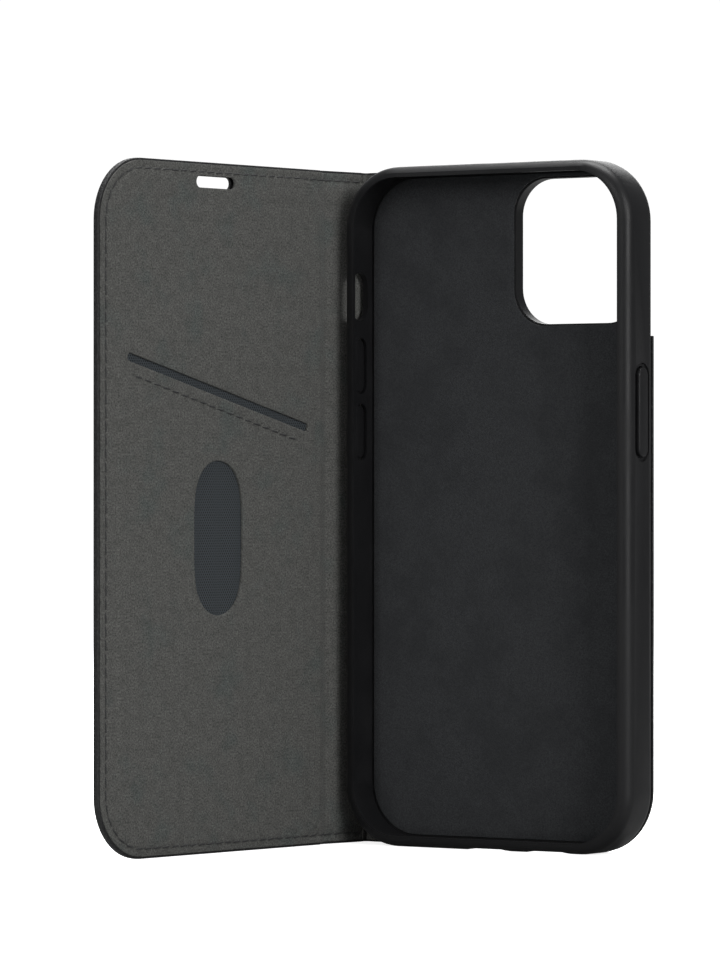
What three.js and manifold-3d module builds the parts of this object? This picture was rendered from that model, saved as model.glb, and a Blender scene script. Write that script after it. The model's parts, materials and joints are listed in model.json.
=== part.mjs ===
// Phone wallet case: a moulded phone shell bonded into a leather book with a folding spine and front cover.
//
// Millimetres, +Z up. The case stands on its lower edges with the book part open. The shell's screen side
// faces -Y, its right side faces +X, and the floor is z = 0. Every sheet of the book is built flat, as if
// the book lay fully open in the XZ plane, and the spine and cover groups then fold it at the two creases.

import * as THREE from 'three';
import { mergeVertices } from 'three/addons/utils/BufferGeometryUtils.js';
import Module from 'manifold-3d';

const wasm = await Module();
wasm.setup();

// ---------------------------------------------------------------------------------------------------------
// Driving dimensions
// ---------------------------------------------------------------------------------------------------------

// The phone that the shell is moulded for
const PHONE_WIDTH = 64.2;
const PHONE_HEIGHT = 131.5;
const PHONE_THICKNESS = 7.65;
const PHONE_CORNER = 10.8;

// The moulded shell
const PHONE_PLAY = 0.1;
const WALL = 1.15;
const END_WALL = 1.3;
const FLOOR = 1.0;
const LIP_THICKNESS = 0.7;
const LIP_COVER = 1.5;
const END_LIP_COVER = 0.85;
const SHELL_FRONT_ROUND = 2.2;
const SHELL_BACK_ROUND = 2.2;

// Camera window in the shell's floor, placed from the phone's top right corner
const WINDOW_SIZE = 28.5;
const WINDOW_CORNER = 7.2;
const WINDOW_MARGIN = 1.65;
const ISLAND_BORDER = 2.2;
const ISLAND_CORNER = 8.4;
const ISLAND_PROUD = 0.3;
const ISLAND_INSET = 1.9;
const ISLAND_EDGE = 0.4;
const NOTCH_GAP = 0.4;

// Buttons: centre below the phone's top, cap length, and how far the cap stands out of the wall. The spine
// closes against the left wall, so the volume buttons stand out less than its gap.
const BUTTON_WIDTH = 3.2;
const BUTTON_SETBACK = 0.4;
const BUTTON_SEAT = 0.35;
const BUTTON_EDGE = 0.35;
const BUTTON_GAP = 0.3;
const GROOVE_MARGIN = 0.95;
const GROOVE_DEPTH = 0.4;
const BUTTONS = [
  { name: 'side_button', side: 1, below: 47.5, length: 17.2, proud: 0.45 },
  { name: 'volume_up_button', side: -1, below: 37.8, length: 10.6, proud: 0.3 },
  { name: 'volume_down_button', side: -1, below: 50.9, length: 10.6, proud: 0.3 },
];

// Openings in the shell's walls
const SWITCH_BELOW = 24.0;
const SWITCH_LENGTH = 9.6;
const SWITCH_WIDTH = 5.4;
const PORT_DEPTH = 7.0;
const PORT_CORNER = 1.8;
const PORT_WIDTH = 10.2;
const SPEAKER_WIDTH = 10.4;
const SPEAKER_OFFSET = 13.9;
const MIC_OFFSET = -13.9;
const MIC_DIAMETER = 2.4;

// Pieces bonded inside the shell
const LINER_THICKNESS = 0.3;
const LINER_INSET = 0.7;
const KEEPER_LENGTH = 14;
const KEEPER_WIDTH = 3.0;
const KEEPER_THICKNESS = 0.4;
const KEEPER_POCKET = 0.5;
const KEEPER_BEHIND_LIP = 2.2;
const KEEPER_HEIGHTS = [24, 60];

// The book: sheets from its outer face inwards
const BOOK_SHORT = 0.4;
const LEATHER = 0.5;
const GLUE = 0.1;
const FILM = 0.05;
const LINING = 0.4;
const ADHESIVE = 0.15;
const BOARD = 0.4;
const MESH_FABRIC = 0.15;
const BACK_RIGHT_SHORT = 1.0;
const BOOK_CORNER = 12.2;
const COVER_SHORT = 1.35;
const COVER_CLEARANCE = 0.35;
const LINING_INSET = 0.45;
const RIM_WIDTH = 0.8;
const ADHESIVE_INSET = 3.0;
const COVER_BOARD_INSET = 3.2;
const SPINE_BOARD_INSET = 4.2;
const MESH_INSET = 1.1;

// Creases
const SPINE_SHELL_GAP = 0.4;
const LEATHER_CREASE = 0.3;
const CREASE_RELIEF = 1.4;
const INNER_RELIEF = 2.4;
const SPINE_FOLD_DEG = 79;
const COVER_FOLD_DEG = 6;

// Features of the cover
const EARPIECE_LENGTH = 11.4;
const EARPIECE_HEIGHT = 2.3;
const EARPIECE_BELOW_TOP = 3.85;
const EARPIECE_BOARD_MARGIN = 1.0;
const EARPIECE_MESH_MARGIN = 0.5;
const SLOT_LENGTH = 54.8;
const SLOT_HEIGHT = 1.6;
const SLOT_CENTRE_BELOW_TOP = 44.6;
const SLOT_OFFSET = 1.0;
const SLOT_TILT_DEG = 14;
const POCKET_STITCH_DROP = 3.15;
const POCKET_STITCH_LENGTH = 50;
const THUMB_WIDTH = 14.3;
const THUMB_HEIGHT = 30.0;
const THUMB_ARCH = 5.8;
const THUMB_CENTRE_BELOW_TOP = 72.8;
const THUMB_OFFSET = 0.75;
const MAGNET_LENGTH = 14;
const MAGNET_WIDTH = 5.0;
const MAGNET_EDGE = 6.2;

// Stitching
const STITCH_INSET = 1.75;
const THREAD_WIDTH = 0.4;
const THREAD_HEIGHT = 0.18;
const THREAD_SUNK = 0.02;
const THREAD_BED = 0.25;
const SPINE_STITCH_SHORT = 1.0;

// Fineness of curves
const CORNER_STEPS = 8;
const ROUND_STEPS = 4;
const WELD = 1e-5;

// ---------------------------------------------------------------------------------------------------------
// Derived places
// ---------------------------------------------------------------------------------------------------------

// Layers behind the phone, as distances in front of the book's outer back face at y = 0
const LINING_BACK = LEATHER + GLUE;
const ADHESIVE_BACK = LINING_BACK + LINING + FILM;
const SHELL_BACK = ADHESIVE_BACK + ADHESIVE + FILM;
const FLOOR_FACE = SHELL_BACK + FLOOR;
const PHONE_BACK = FLOOR_FACE + FILM + LINER_THICKNESS;
const LIP_BACK = PHONE_BACK + PHONE_THICKNESS + PHONE_PLAY;
const SHELL_FRONT = LIP_BACK + LIP_THICKNESS;
const SHELL_DEPTH = SHELL_FRONT - SHELL_BACK;
const PHONE_MIDDLE = PHONE_BACK + PHONE_THICKNESS / 2;

// Layers of the cover
const BOARD_BACK = LEATHER + GLUE;
const MESH_BACK = BOARD_BACK + BOARD + FILM;
const COVER_LINING_BACK = MESH_BACK + MESH_FABRIC + GLUE;
const COVER_THICKNESS = COVER_LINING_BACK + LINING;
const SPINE_LINING_BACK = BOARD_BACK + BOARD + GLUE;
const SPINE_THICKNESS = SPINE_LINING_BACK + LINING;

// Outlines seen from the front
const CAVITY = {
  left: -PHONE_WIDTH / 2 - PHONE_PLAY,
  right: PHONE_WIDTH / 2 + PHONE_PLAY,
  low: END_WALL,
  high: END_WALL + PHONE_HEIGHT + 2 * PHONE_PLAY,
};
const CAVITY_CORNER = PHONE_CORNER + PHONE_PLAY;
const SHELL_BOX = grow(CAVITY, WALL, END_WALL);
const SHELL_CORNER = CAVITY_CORNER + WALL;
const LIP_BOX = grow(CAVITY, -LIP_COVER, -END_LIP_COVER);
const LIP_CORNER = CAVITY_CORNER - (LIP_COVER + END_LIP_COVER) / 2;
const PHONE_TOP = CAVITY.high - PHONE_PLAY;
const WINDOW = {
  left: CAVITY.right - WINDOW_MARGIN - WINDOW_SIZE,
  right: CAVITY.right - WINDOW_MARGIN,
  low: CAVITY.high - WINDOW_MARGIN - WINDOW_SIZE,
  high: CAVITY.high - WINDOW_MARGIN,
};

// Creases and the sheets that meet there
const LEATHER_MIDDLE = LEATHER / 2;
const SPINE_CREASE_X = SHELL_BOX.left - SPINE_SHELL_GAP - (SPINE_THICKNESS - LEATHER_MIDDLE);
const CLOSED_COVER_FACE = SHELL_FRONT + COVER_CLEARANCE;
const SPINE_PITCH = CLOSED_COVER_FACE + COVER_THICKNESS - LEATHER;
const BACK_RIGHT = SHELL_BOX.right - BACK_RIGHT_SHORT;
const BOOK_HEIGHT = SHELL_BOX.high - BOOK_SHORT;
const COVER_WIDTH = SHELL_BOX.right - COVER_SHORT - SPINE_CREASE_X;
const COVER_MIDDLE = -COVER_WIDTH / 2;

// How far a cutting block runs on past what it cuts
const PAST = 4;

// ---------------------------------------------------------------------------------------------------------
// Materials
// ---------------------------------------------------------------------------------------------------------

const leather = finish(0x2b2b2c, 0.55, 0);
const suede = finish(0x595b57, 0.95, 0);
const moulded = finish(0x2c2c2e, 0.5, 0);
const meshFabric = finish(0x353a3f, 0.8, 0);
const board = finish(0x6b5a45, 0.9, 0);
const microfibre = finish(0x3c3e40, 0.95, 0);
const bond = finish(0xb9b6a8, 0.6, 0);
const thread = finish(0x1d1d1e, 0.7, 0);
const steel = finish(0x9a9da0, 0.35, 0.9);

function finish(color, roughness, metalness) {
  return new THREE.MeshStandardMaterial({ color, roughness, metalness });
}

// ---------------------------------------------------------------------------------------------------------
// Outlines
// ---------------------------------------------------------------------------------------------------------

function grow(box, across, up = across) {
  return { left: box.left - across, right: box.right + across, low: box.low - up, high: box.high + up };
}

function boxAround(x, z, width, height) {
  return { left: x - width / 2, right: x + width / 2, low: z - height / 2, high: z + height / 2 };
}

function roundedBox(box, radius) {
  const shape = new THREE.Shape();
  shape.absarc(box.right - radius, box.high - radius, radius, 0, Math.PI / 2);
  shape.absarc(box.left + radius, box.high - radius, radius, Math.PI / 2, Math.PI);
  shape.absarc(box.left + radius, box.low + radius, radius, Math.PI, 1.5 * Math.PI);
  shape.absarc(box.right - radius, box.low + radius, radius, 1.5 * Math.PI, 2 * Math.PI);
  shape.closePath();
  return shape;
}

// A box with square corners on one side and round ones on the free side, which is side 1 or -1 along x
function flap(box, radius, side) {
  const shape = new THREE.Shape();
  if (side > 0) {
    shape.moveTo(box.left, box.low);
    shape.lineTo(box.right - radius, box.low);
    shape.absarc(box.right - radius, box.low + radius, radius, -Math.PI / 2, 0);
    shape.absarc(box.right - radius, box.high - radius, radius, 0, Math.PI / 2);
    shape.lineTo(box.left, box.high);
  } else {
    shape.moveTo(box.right, box.high);
    shape.lineTo(box.left + radius, box.high);
    shape.absarc(box.left + radius, box.high - radius, radius, Math.PI / 2, Math.PI);
    shape.absarc(box.left + radius, box.low + radius, radius, Math.PI, 1.5 * Math.PI);
    shape.lineTo(box.right, box.low);
  }
  shape.closePath();
  return shape;
}

function plainBox(box) {
  const shape = new THREE.Shape();
  shape.moveTo(box.left, box.low);
  shape.lineTo(box.right, box.low);
  shape.lineTo(box.right, box.high);
  shape.lineTo(box.left, box.high);
  shape.closePath();
  return shape;
}

// A slot with half-round ends along its longer side
function slot(box) {
  const width = box.right - box.left;
  const height = box.high - box.low;
  const shape = new THREE.Shape();
  const radius = Math.min(width, height) / 2;
  if (width > height) {
    shape.absarc(box.right - radius, box.low + radius, radius, -Math.PI / 2, Math.PI / 2);
    shape.absarc(box.left + radius, box.low + radius, radius, Math.PI / 2, 1.5 * Math.PI);
  } else {
    shape.absarc(box.left + radius, box.high - radius, radius, 0, Math.PI);
    shape.absarc(box.left + radius, box.low + radius, radius, Math.PI, 2 * Math.PI);
  }
  shape.closePath();
  return shape;
}

// An upright opening whose top and bottom are half ellipses of a given rise
function arched(box, rise) {
  const middle = (box.left + box.right) / 2;
  const half = (box.right - box.left) / 2;
  const shape = new THREE.Shape();
  shape.absellipse(middle, box.high - rise, half, rise, 0, Math.PI);
  shape.absellipse(middle, box.low + rise, half, rise, Math.PI, 2 * Math.PI);
  shape.closePath();
  return shape;
}

// ---------------------------------------------------------------------------------------------------------
// Solids
// ---------------------------------------------------------------------------------------------------------

function extrude(shape, depth, edge) {
  const geometry = new THREE.ExtrudeGeometry(shape, {
    depth: depth - 2 * edge,
    bevelEnabled: edge > 0,
    bevelThickness: edge,
    bevelSize: edge,
    bevelOffset: -edge,
    bevelSegments: ROUND_STEPS,
    curveSegments: CORNER_STEPS,
  });
  geometry.translate(0, 0, edge);
  return geometry;
}

function toSolid(geometry) {
  geometry.deleteAttribute('normal');
  geometry.deleteAttribute('uv');
  const merged = mergeVertices(geometry, WELD);
  const vertProperties = Float32Array.from(merged.attributes.position.array);
  const triVerts = Uint32Array.from(merged.index.array);
  return new wasm.Manifold(new wasm.Mesh({ numProp: 3, vertProperties, triVerts }));
}

function toMesh(name, solid, material) {
  const result = solid.getMesh();
  const geometry = new THREE.BufferGeometry();
  geometry.setAttribute('position', new THREE.BufferAttribute(result.vertProperties, 3));
  geometry.setIndex(new THREE.BufferAttribute(result.triVerts, 1));
  geometry.computeVertexNormals();
  const mesh = new THREE.Mesh(geometry, material);
  mesh.name = name;
  return mesh;
}

// A sheet or block whose outline lies in the XZ plane, from y = -back towards the front
function slab(shape, back, depth, edge = 0) {
  const geometry = extrude(shape, depth, edge);
  const toFront = new THREE.Matrix4().makeBasis(
    new THREE.Vector3(1, 0, 0),
    new THREE.Vector3(0, 0, 1),
    new THREE.Vector3(0, -1, 0),
  );
  geometry.applyMatrix4(toFront);
  geometry.translate(0, -back, 0);
  return toSolid(geometry);
}

// A block whose outline lies in the YZ plane, from x = start towards +x
function sideBlock(shape, start, depth, edge = 0) {
  const geometry = extrude(shape, depth, edge);
  const toRight = new THREE.Matrix4().makeBasis(
    new THREE.Vector3(0, 1, 0),
    new THREE.Vector3(0, 0, 1),
    new THREE.Vector3(1, 0, 0),
  );
  geometry.applyMatrix4(toRight);
  geometry.translate(start, 0, 0);
  return toSolid(geometry);
}

// A block whose outline lies in the XY plane, from z = start upwards
function upright(shape, start, depth) {
  const geometry = extrude(shape, depth, 0);
  geometry.translate(0, 0, start);
  return toSolid(geometry);
}

// ---------------------------------------------------------------------------------------------------------
// Shell and what is fixed in it
// ---------------------------------------------------------------------------------------------------------

// The island is the raised frame round the camera window, in the corner that the leather leaves free.
// It stands in from the shell's outer wall.
function islandBox() {
  return {
    left: WINDOW.left - ISLAND_BORDER,
    right: SHELL_BOX.right + PAST,
    low: WINDOW.low - ISLAND_BORDER,
    high: SHELL_BOX.high + PAST,
  };
}

function shellOutside() {
  const outline = roundedBox(SHELL_BOX, SHELL_CORNER);
  const roundBack = slab(outline, SHELL_BACK, SHELL_DEPTH + PAST, SHELL_BACK_ROUND);
  const roundFront = slab(outline, SHELL_BACK - PAST, SHELL_DEPTH + PAST, SHELL_FRONT_ROUND);
  const body = roundBack.intersect(roundFront);
  const frame = roundedBox(grow(SHELL_BOX, -ISLAND_INSET), SHELL_CORNER - ISLAND_INSET);
  const raised = slab(frame, -ISLAND_PROUD, ISLAND_PROUD + FLOOR_FACE + PAST, ISLAND_EDGE);
  const corner = slab(roundedBox(islandBox(), ISLAND_CORNER), -PAST, PAST + FLOOR_FACE);
  return body.add(raised.intersect(corner));
}

function buttonMiddle(button) {
  return PHONE_TOP - button.below;
}

function buttonSlot(button, margin) {
  const width = BUTTON_WIDTH + 2 * margin;
  const y = -PHONE_MIDDLE + BUTTON_SETBACK;
  return slot(boxAround(y, buttonMiddle(button), width, button.length + 2 * margin));
}

// A cut through one side wall, or into it by a depth from its outer face
function wallCut(shape, side, depth) {
  if (side > 0) {
    return sideBlock(shape, SHELL_BOX.right - depth, depth + PAST);
  }
  return sideBlock(shape, SHELL_BOX.left - PAST, depth + PAST);
}

function buttonCuts() {
  return BUTTONS.flatMap((button) => [
    wallCut(buttonSlot(button, BUTTON_GAP), button.side, WALL + PHONE_PLAY),
    wallCut(buttonSlot(button, GROOVE_MARGIN), button.side, GROOVE_DEPTH),
  ]);
}

function switchCut() {
  const shape = slot(boxAround(-PHONE_MIDDLE, PHONE_TOP - SWITCH_BELOW, SWITCH_WIDTH, SWITCH_LENGTH));
  return wallCut(shape, -1, WALL + PHONE_PLAY);
}

function lowerCut(middle, width, depth) {
  const shape = roundedBox(boxAround(middle, -PHONE_MIDDLE, width, depth), PORT_CORNER);
  return upright(shape, SHELL_BOX.low - PAST, PAST + END_WALL + PHONE_PLAY);
}

function microphoneHole() {
  const shape = new THREE.Shape();
  shape.absarc(MIC_OFFSET, -PHONE_MIDDLE, MIC_DIAMETER / 2, 0, 2 * Math.PI);
  return upright(shape, SHELL_BOX.low - PAST, PAST + END_WALL + PHONE_PLAY);
}

function keeperBox(height, play) {
  const y = -(LIP_BACK - KEEPER_BEHIND_LIP);
  return boxAround(y, height, KEEPER_WIDTH + 2 * play, KEEPER_LENGTH + 2 * play);
}

function keeperPocket(height) {
  return sideBlock(plainBox(keeperBox(height, GLUE)), CAVITY.right - PAST, PAST + KEEPER_POCKET);
}

function makeShell() {
  const cavity = slab(roundedBox(CAVITY, CAVITY_CORNER), FLOOR_FACE, LIP_BACK - FLOOR_FACE);
  const mouth = slab(roundedBox(LIP_BOX, LIP_CORNER), LIP_BACK - PHONE_PLAY, LIP_THICKNESS + PAST);
  const window = slab(roundedBox(WINDOW, WINDOW_CORNER), -PAST, PAST + FLOOR_FACE + PHONE_PLAY);
  const cuts = [
    cavity,
    mouth,
    window,
    switchCut(),
    lowerCut(0, PORT_WIDTH, PORT_DEPTH),
    lowerCut(SPEAKER_OFFSET, SPEAKER_WIDTH, PORT_DEPTH),
    microphoneHole(),
    ...buttonCuts(),
    ...KEEPER_HEIGHTS.map(keeperPocket),
  ];
  const solid = cuts.reduce((rest, cut) => rest.subtract(cut), shellOutside());
  return toMesh('shell', solid, moulded);
}

function makeShellLiner() {
  const outline = roundedBox(grow(CAVITY, -LINER_INSET), CAVITY_CORNER - LINER_INSET);
  const window = slab(roundedBox(grow(WINDOW, LINER_INSET / 2), WINDOW_CORNER), FLOOR_FACE - PAST, 2 * PAST);
  const pad = slab(outline, FLOOR_FACE + FILM, LINER_THICKNESS);
  return toMesh('shell_liner', pad.subtract(window), microfibre);
}

function makeKeeper(name, height) {
  const start = CAVITY.right + (KEEPER_POCKET - KEEPER_THICKNESS) / 2;
  return toMesh(name, sideBlock(plainBox(keeperBox(height, 0)), start, KEEPER_THICKNESS), steel);
}

// The cap's inner face stops short of the phone, and pressing it closes that distance
function makeButton(button) {
  const length = WALL - BUTTON_SEAT + button.proud;
  const inner = CAVITY.right + BUTTON_SEAT;
  const start = button.side > 0 ? inner : -inner - length;
  return toMesh(button.name, sideBlock(buttonSlot(button, 0), start, length, BUTTON_EDGE), moulded);
}

// ---------------------------------------------------------------------------------------------------------
// The book's back
// ---------------------------------------------------------------------------------------------------------

// The corner that the book leaves free for the camera island
function cameraNotch(margin, back, depth) {
  const box = grow(islandBox(), margin);
  return slab(roundedBox(box, ISLAND_CORNER + margin), back - PAST, depth + 2 * PAST);
}

function backBox(left, inset) {
  return { left, right: BACK_RIGHT - inset, low: inset, high: BOOK_HEIGHT - inset };
}

function backSheet(left, inset, back, depth) {
  const outline = flap(backBox(left, inset), BOOK_CORNER - inset, 1);
  return slab(outline, back, depth).subtract(cameraNotch(NOTCH_GAP + inset, back, depth));
}

// A narrow band along the free edges of a flap, where the thread runs
function stitchBand(box, side, widen, back, depth) {
  const outer = grow(box, widen);
  const inner = grow(box, -THREAD_WIDTH - widen);
  const corner = BOOK_CORNER - STITCH_INSET;
  const start = side > 0 ? box.left : box.right;
  const end = { ...inner };
  if (side > 0) {
    outer.left = start;
    end.left = start - PAST;
  } else {
    outer.right = start;
    end.right = start + PAST;
  }
  const whole = slab(flap(outer, corner + widen, side), back, depth);
  const hollow = slab(flap(end, corner - THREAD_WIDTH - widen, side), back - PAST, depth + 2 * PAST);
  return whole.subtract(hollow);
}

// On the back the stitching turns in along the camera notch
function backStitch(widen, back, depth) {
  const box = backBox(SPINE_CREASE_X + CREASE_RELIEF - widen, STITCH_INSET);
  const margin = NOTCH_GAP + STITCH_INSET;
  const edge = stitchBand(box, 1, widen, back, depth).subtract(cameraNotch(margin - widen, back, depth));
  const whole = slab(flap(grow(box, widen), BOOK_CORNER - STITCH_INSET, 1), back, depth);
  const outside = cameraNotch(margin - widen, back, depth);
  const inside = cameraNotch(margin + THREAD_WIDTH + widen, back, depth);
  const turn = whole.subtract(outside).intersect(inside);
  const limit = slab(plainBox({ ...grow(box, PAST), left: box.left }), back - PAST, depth + 2 * PAST);
  return edge.add(turn).intersect(limit);
}

function makeBack() {
  const groove = backStitch(GLUE, -PAST, PAST + THREAD_BED);
  const outer = backSheet(SPINE_CREASE_X + LEATHER_CREASE, 0, 0, LEATHER).subtract(groove);
  const inner = backSheet(SPINE_CREASE_X + CREASE_RELIEF, LINING_INSET, LINING_BACK, LINING);
  const film = backSheet(SHELL_BOX.left + ADHESIVE_INSET, ADHESIVE_INSET, ADHESIVE_BACK, ADHESIVE);
  return [
    toMesh('back_leather', outer, leather),
    toMesh('back_lining', inner, suede),
    toMesh('back_adhesive', film, bond),
    toMesh('back_stitch', backStitch(0, THREAD_SUNK, THREAD_HEIGHT), thread),
  ];
}

// ---------------------------------------------------------------------------------------------------------
// The spine, built with its first crease at x = 0 and its second at x = -SPINE_PITCH
// ---------------------------------------------------------------------------------------------------------

function spineBox(relief, inset) {
  return { left: -SPINE_PITCH + relief, right: -relief, low: inset, high: BOOK_HEIGHT - inset };
}

function spineStitchBox(height, widen) {
  const across = SPINE_PITCH - 2 * CREASE_RELIEF - SPINE_STITCH_SHORT + 2 * widen;
  return boxAround(-SPINE_PITCH / 2, height, across, THREAD_WIDTH + 2 * widen);
}

function makeSpine() {
  const heights = { spine_stitch_top: BOOK_HEIGHT - STITCH_INSET, spine_stitch_bottom: STITCH_INSET };
  const seat = SPINE_THICKNESS - THREAD_SUNK - THREAD_HEIGHT;
  const lining = slab(plainBox(spineBox(CREASE_RELIEF, LINING_INSET)), SPINE_LINING_BACK, LINING);
  const strip = slab(plainBox(spineBox(CREASE_RELIEF, SPINE_BOARD_INSET)), BOARD_BACK, BOARD);
  const grooves = Object.values(heights).map((height) =>
    slab(plainBox(spineStitchBox(height, GLUE)), SPINE_THICKNESS - THREAD_BED, PAST),
  );
  const stitches = Object.entries(heights).map(([name, height]) => {
    const band = slab(plainBox(spineStitchBox(height, 0)), seat, THREAD_HEIGHT);
    return toMesh(name, band, thread);
  });
  return [
    toMesh('spine_leather', slab(plainBox(spineBox(LEATHER_CREASE, 0)), 0, LEATHER), leather),
    toMesh('spine_stiffener', strip, board),
    toMesh('spine_lining', grooves.reduce((rest, cut) => rest.subtract(cut), lining), suede),
    ...stitches,
  ];
}

// ---------------------------------------------------------------------------------------------------------
// The cover, built with its crease at x = 0 and its free edge at x = -COVER_WIDTH
// ---------------------------------------------------------------------------------------------------------

function coverBox(relief, inset) {
  return { left: -COVER_WIDTH + inset, right: -relief, low: inset, high: BOOK_HEIGHT - inset };
}

function coverSheet(relief, inset, back, depth) {
  return slab(flap(coverBox(relief, inset), BOOK_CORNER - inset, -1), back, depth);
}

function earpieceHole(margin) {
  const height = BOOK_HEIGHT - EARPIECE_BELOW_TOP;
  const box = boxAround(COVER_MIDDLE, height, EARPIECE_LENGTH, EARPIECE_HEIGHT);
  return slab(slot(grow(box, margin)), -PAST, COVER_THICKNESS + 2 * PAST);
}

// A level outline turned to the slope of the card slot about the slot's middle
function sloped(shape, back, depth) {
  const x = COVER_MIDDLE + SLOT_OFFSET;
  const z = BOOK_HEIGHT - SLOT_CENTRE_BELOW_TOP;
  return slab(shape, back, depth).rotate([0, SLOT_TILT_DEG, 0]).translate([x, 0, z]);
}

function cardSlot() {
  const shape = slot(boxAround(0, 0, SLOT_LENGTH, SLOT_HEIGHT));
  return sloped(shape, COVER_LINING_BACK - PAST, LINING + 2 * PAST);
}

function pocketStitch(widen, back, depth) {
  const box = boxAround(0, -POCKET_STITCH_DROP, POCKET_STITCH_LENGTH, THREAD_WIDTH);
  return sloped(plainBox(grow(box, widen)), back, depth);
}

function thumbWindow() {
  const height = BOOK_HEIGHT - THUMB_CENTRE_BELOW_TOP;
  const box = boxAround(COVER_MIDDLE + THUMB_OFFSET, height, THUMB_WIDTH, THUMB_HEIGHT);
  return slab(arched(box, THUMB_ARCH), COVER_LINING_BACK - GLUE, LINING + PAST);
}

function coverStitch(widen, back, depth) {
  return stitchBand(coverBox(CREASE_RELIEF - widen, STITCH_INSET), -1, widen, back, depth);
}

// The leather is turned up round the free edges to make a rim that the lining covers
function makeCoverLeather() {
  const face = coverSheet(LEATHER_CREASE, 0, 0, LEATHER);
  const height = COVER_LINING_BACK - FILM;
  const rim = coverSheet(CREASE_RELIEF, 0, 0, height);
  const hollow = slab(
    flap({ ...coverBox(0, RIM_WIDTH), right: PAST }, BOOK_CORNER - RIM_WIDTH, -1),
    LEATHER,
    height,
  );
  const groove = coverStitch(GLUE, -PAST, PAST + THREAD_BED);
  const solid = face.add(rim.subtract(hollow)).subtract(earpieceHole(0)).subtract(groove);
  return toMesh('cover_leather', solid, leather);
}

function magnetBox(height, play) {
  const x = -COVER_WIDTH + MAGNET_EDGE;
  return grow(boxAround(x, height, MAGNET_WIDTH, MAGNET_LENGTH), play);
}

function makeCoverBoard() {
  const sheet = coverSheet(INNER_RELIEF, COVER_BOARD_INSET, BOARD_BACK, BOARD);
  const cuts = KEEPER_HEIGHTS.map((height) => slab(plainBox(magnetBox(height, GLUE)), 0, COVER_THICKNESS));
  const pierced = sheet.subtract(earpieceHole(EARPIECE_BOARD_MARGIN));
  const solid = cuts.reduce((rest, cut) => rest.subtract(cut), pierced);
  return toMesh('cover_board', solid, board);
}

function makeMagnet(name, height) {
  return toMesh(name, slab(plainBox(magnetBox(height, 0)), BOARD_BACK, BOARD), steel);
}

function makePocketMesh() {
  const sheet = coverSheet(INNER_RELIEF, MESH_INSET, MESH_BACK, MESH_FABRIC);
  return toMesh('pocket_mesh', sheet.subtract(earpieceHole(EARPIECE_MESH_MARGIN)), meshFabric);
}

function makeCoverLining() {
  const sheet = coverSheet(CREASE_RELIEF, LINING_INSET, COVER_LINING_BACK, LINING);
  const bed = COVER_THICKNESS - THREAD_BED;
  const solid = sheet
    .subtract(earpieceHole(0))
    .subtract(cardSlot())
    .subtract(thumbWindow())
    .subtract(coverStitch(GLUE, bed, PAST))
    .subtract(pocketStitch(GLUE, bed, PAST));
  return toMesh('cover_lining', solid, suede);
}

function makeCover() {
  const seat = COVER_THICKNESS - THREAD_SUNK - THREAD_HEIGHT;
  return [
    makeCoverLeather(),
    makeCoverBoard(),
    makePocketMesh(),
    makeCoverLining(),
    makeMagnet('cover_magnet_lower', KEEPER_HEIGHTS[0]),
    makeMagnet('cover_magnet_upper', KEEPER_HEIGHTS[1]),
    toMesh('cover_stitch_inner', coverStitch(0, seat, THREAD_HEIGHT), thread),
    toMesh('cover_stitch_outer', coverStitch(0, THREAD_SUNK, THREAD_HEIGHT), thread),
    toMesh('pocket_stitch', pocketStitch(0, seat, THREAD_HEIGHT), thread),
  ];
}

// ---------------------------------------------------------------------------------------------------------
// Assembly
// ---------------------------------------------------------------------------------------------------------

// A fold turns its group about the line in the middle of the leather's thickness
function foldGroup(name, x, y, degrees, meshes) {
  const group = new THREE.Group();
  group.name = name;
  group.position.set(x, y, 0);
  group.rotation.z = THREE.MathUtils.degToRad(degrees);
  meshes.forEach((mesh) => mesh.position.set(0, LEATHER_MIDDLE, 0));
  group.add(...meshes);
  return group;
}

function assemble() {
  const cover = foldGroup('cover_fold', -SPINE_PITCH, 0, COVER_FOLD_DEG, makeCover());
  const spine = foldGroup('spine_fold', SPINE_CREASE_X, -LEATHER_MIDDLE, SPINE_FOLD_DEG, makeSpine());
  spine.add(cover);
  const whole = new THREE.Group();
  whole.add(
    makeShell(),
    makeShellLiner(),
    makeKeeper('keeper_lower', KEEPER_HEIGHTS[0]),
    makeKeeper('keeper_upper', KEEPER_HEIGHTS[1]),
    ...BUTTONS.map(makeButton),
    ...makeBack(),
    spine,
  );
  return whole;
}

const group = assemble();

// The origin is on the floor under the middle of the standing case's footprint
const footprint = new THREE.Box3().setFromObject(group, true);
const middle = footprint.getCenter(new THREE.Vector3());
group.position.set(-middle.x, -middle.y, -footprint.min.z);

export default group;
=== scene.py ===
"""Looks of a phone wallet case: a moulded shell bonded into a leather book with a folding spine and cover.

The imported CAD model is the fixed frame. Every sheet of the book is shaped flat, with x = 0 at the crease
between spine and back, -y towards the inside of the book and z up, and is then folded to where it stands
open. Lengths are in metres, and MM is one millimetre.
"""

import json
import logging
import math
from collections.abc import Callable, Iterable, Sequence
from dataclasses import dataclass, field
from enum import Enum

import bmesh
import bpy
from mathutils import Matrix, Vector, kdtree, noise


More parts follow.
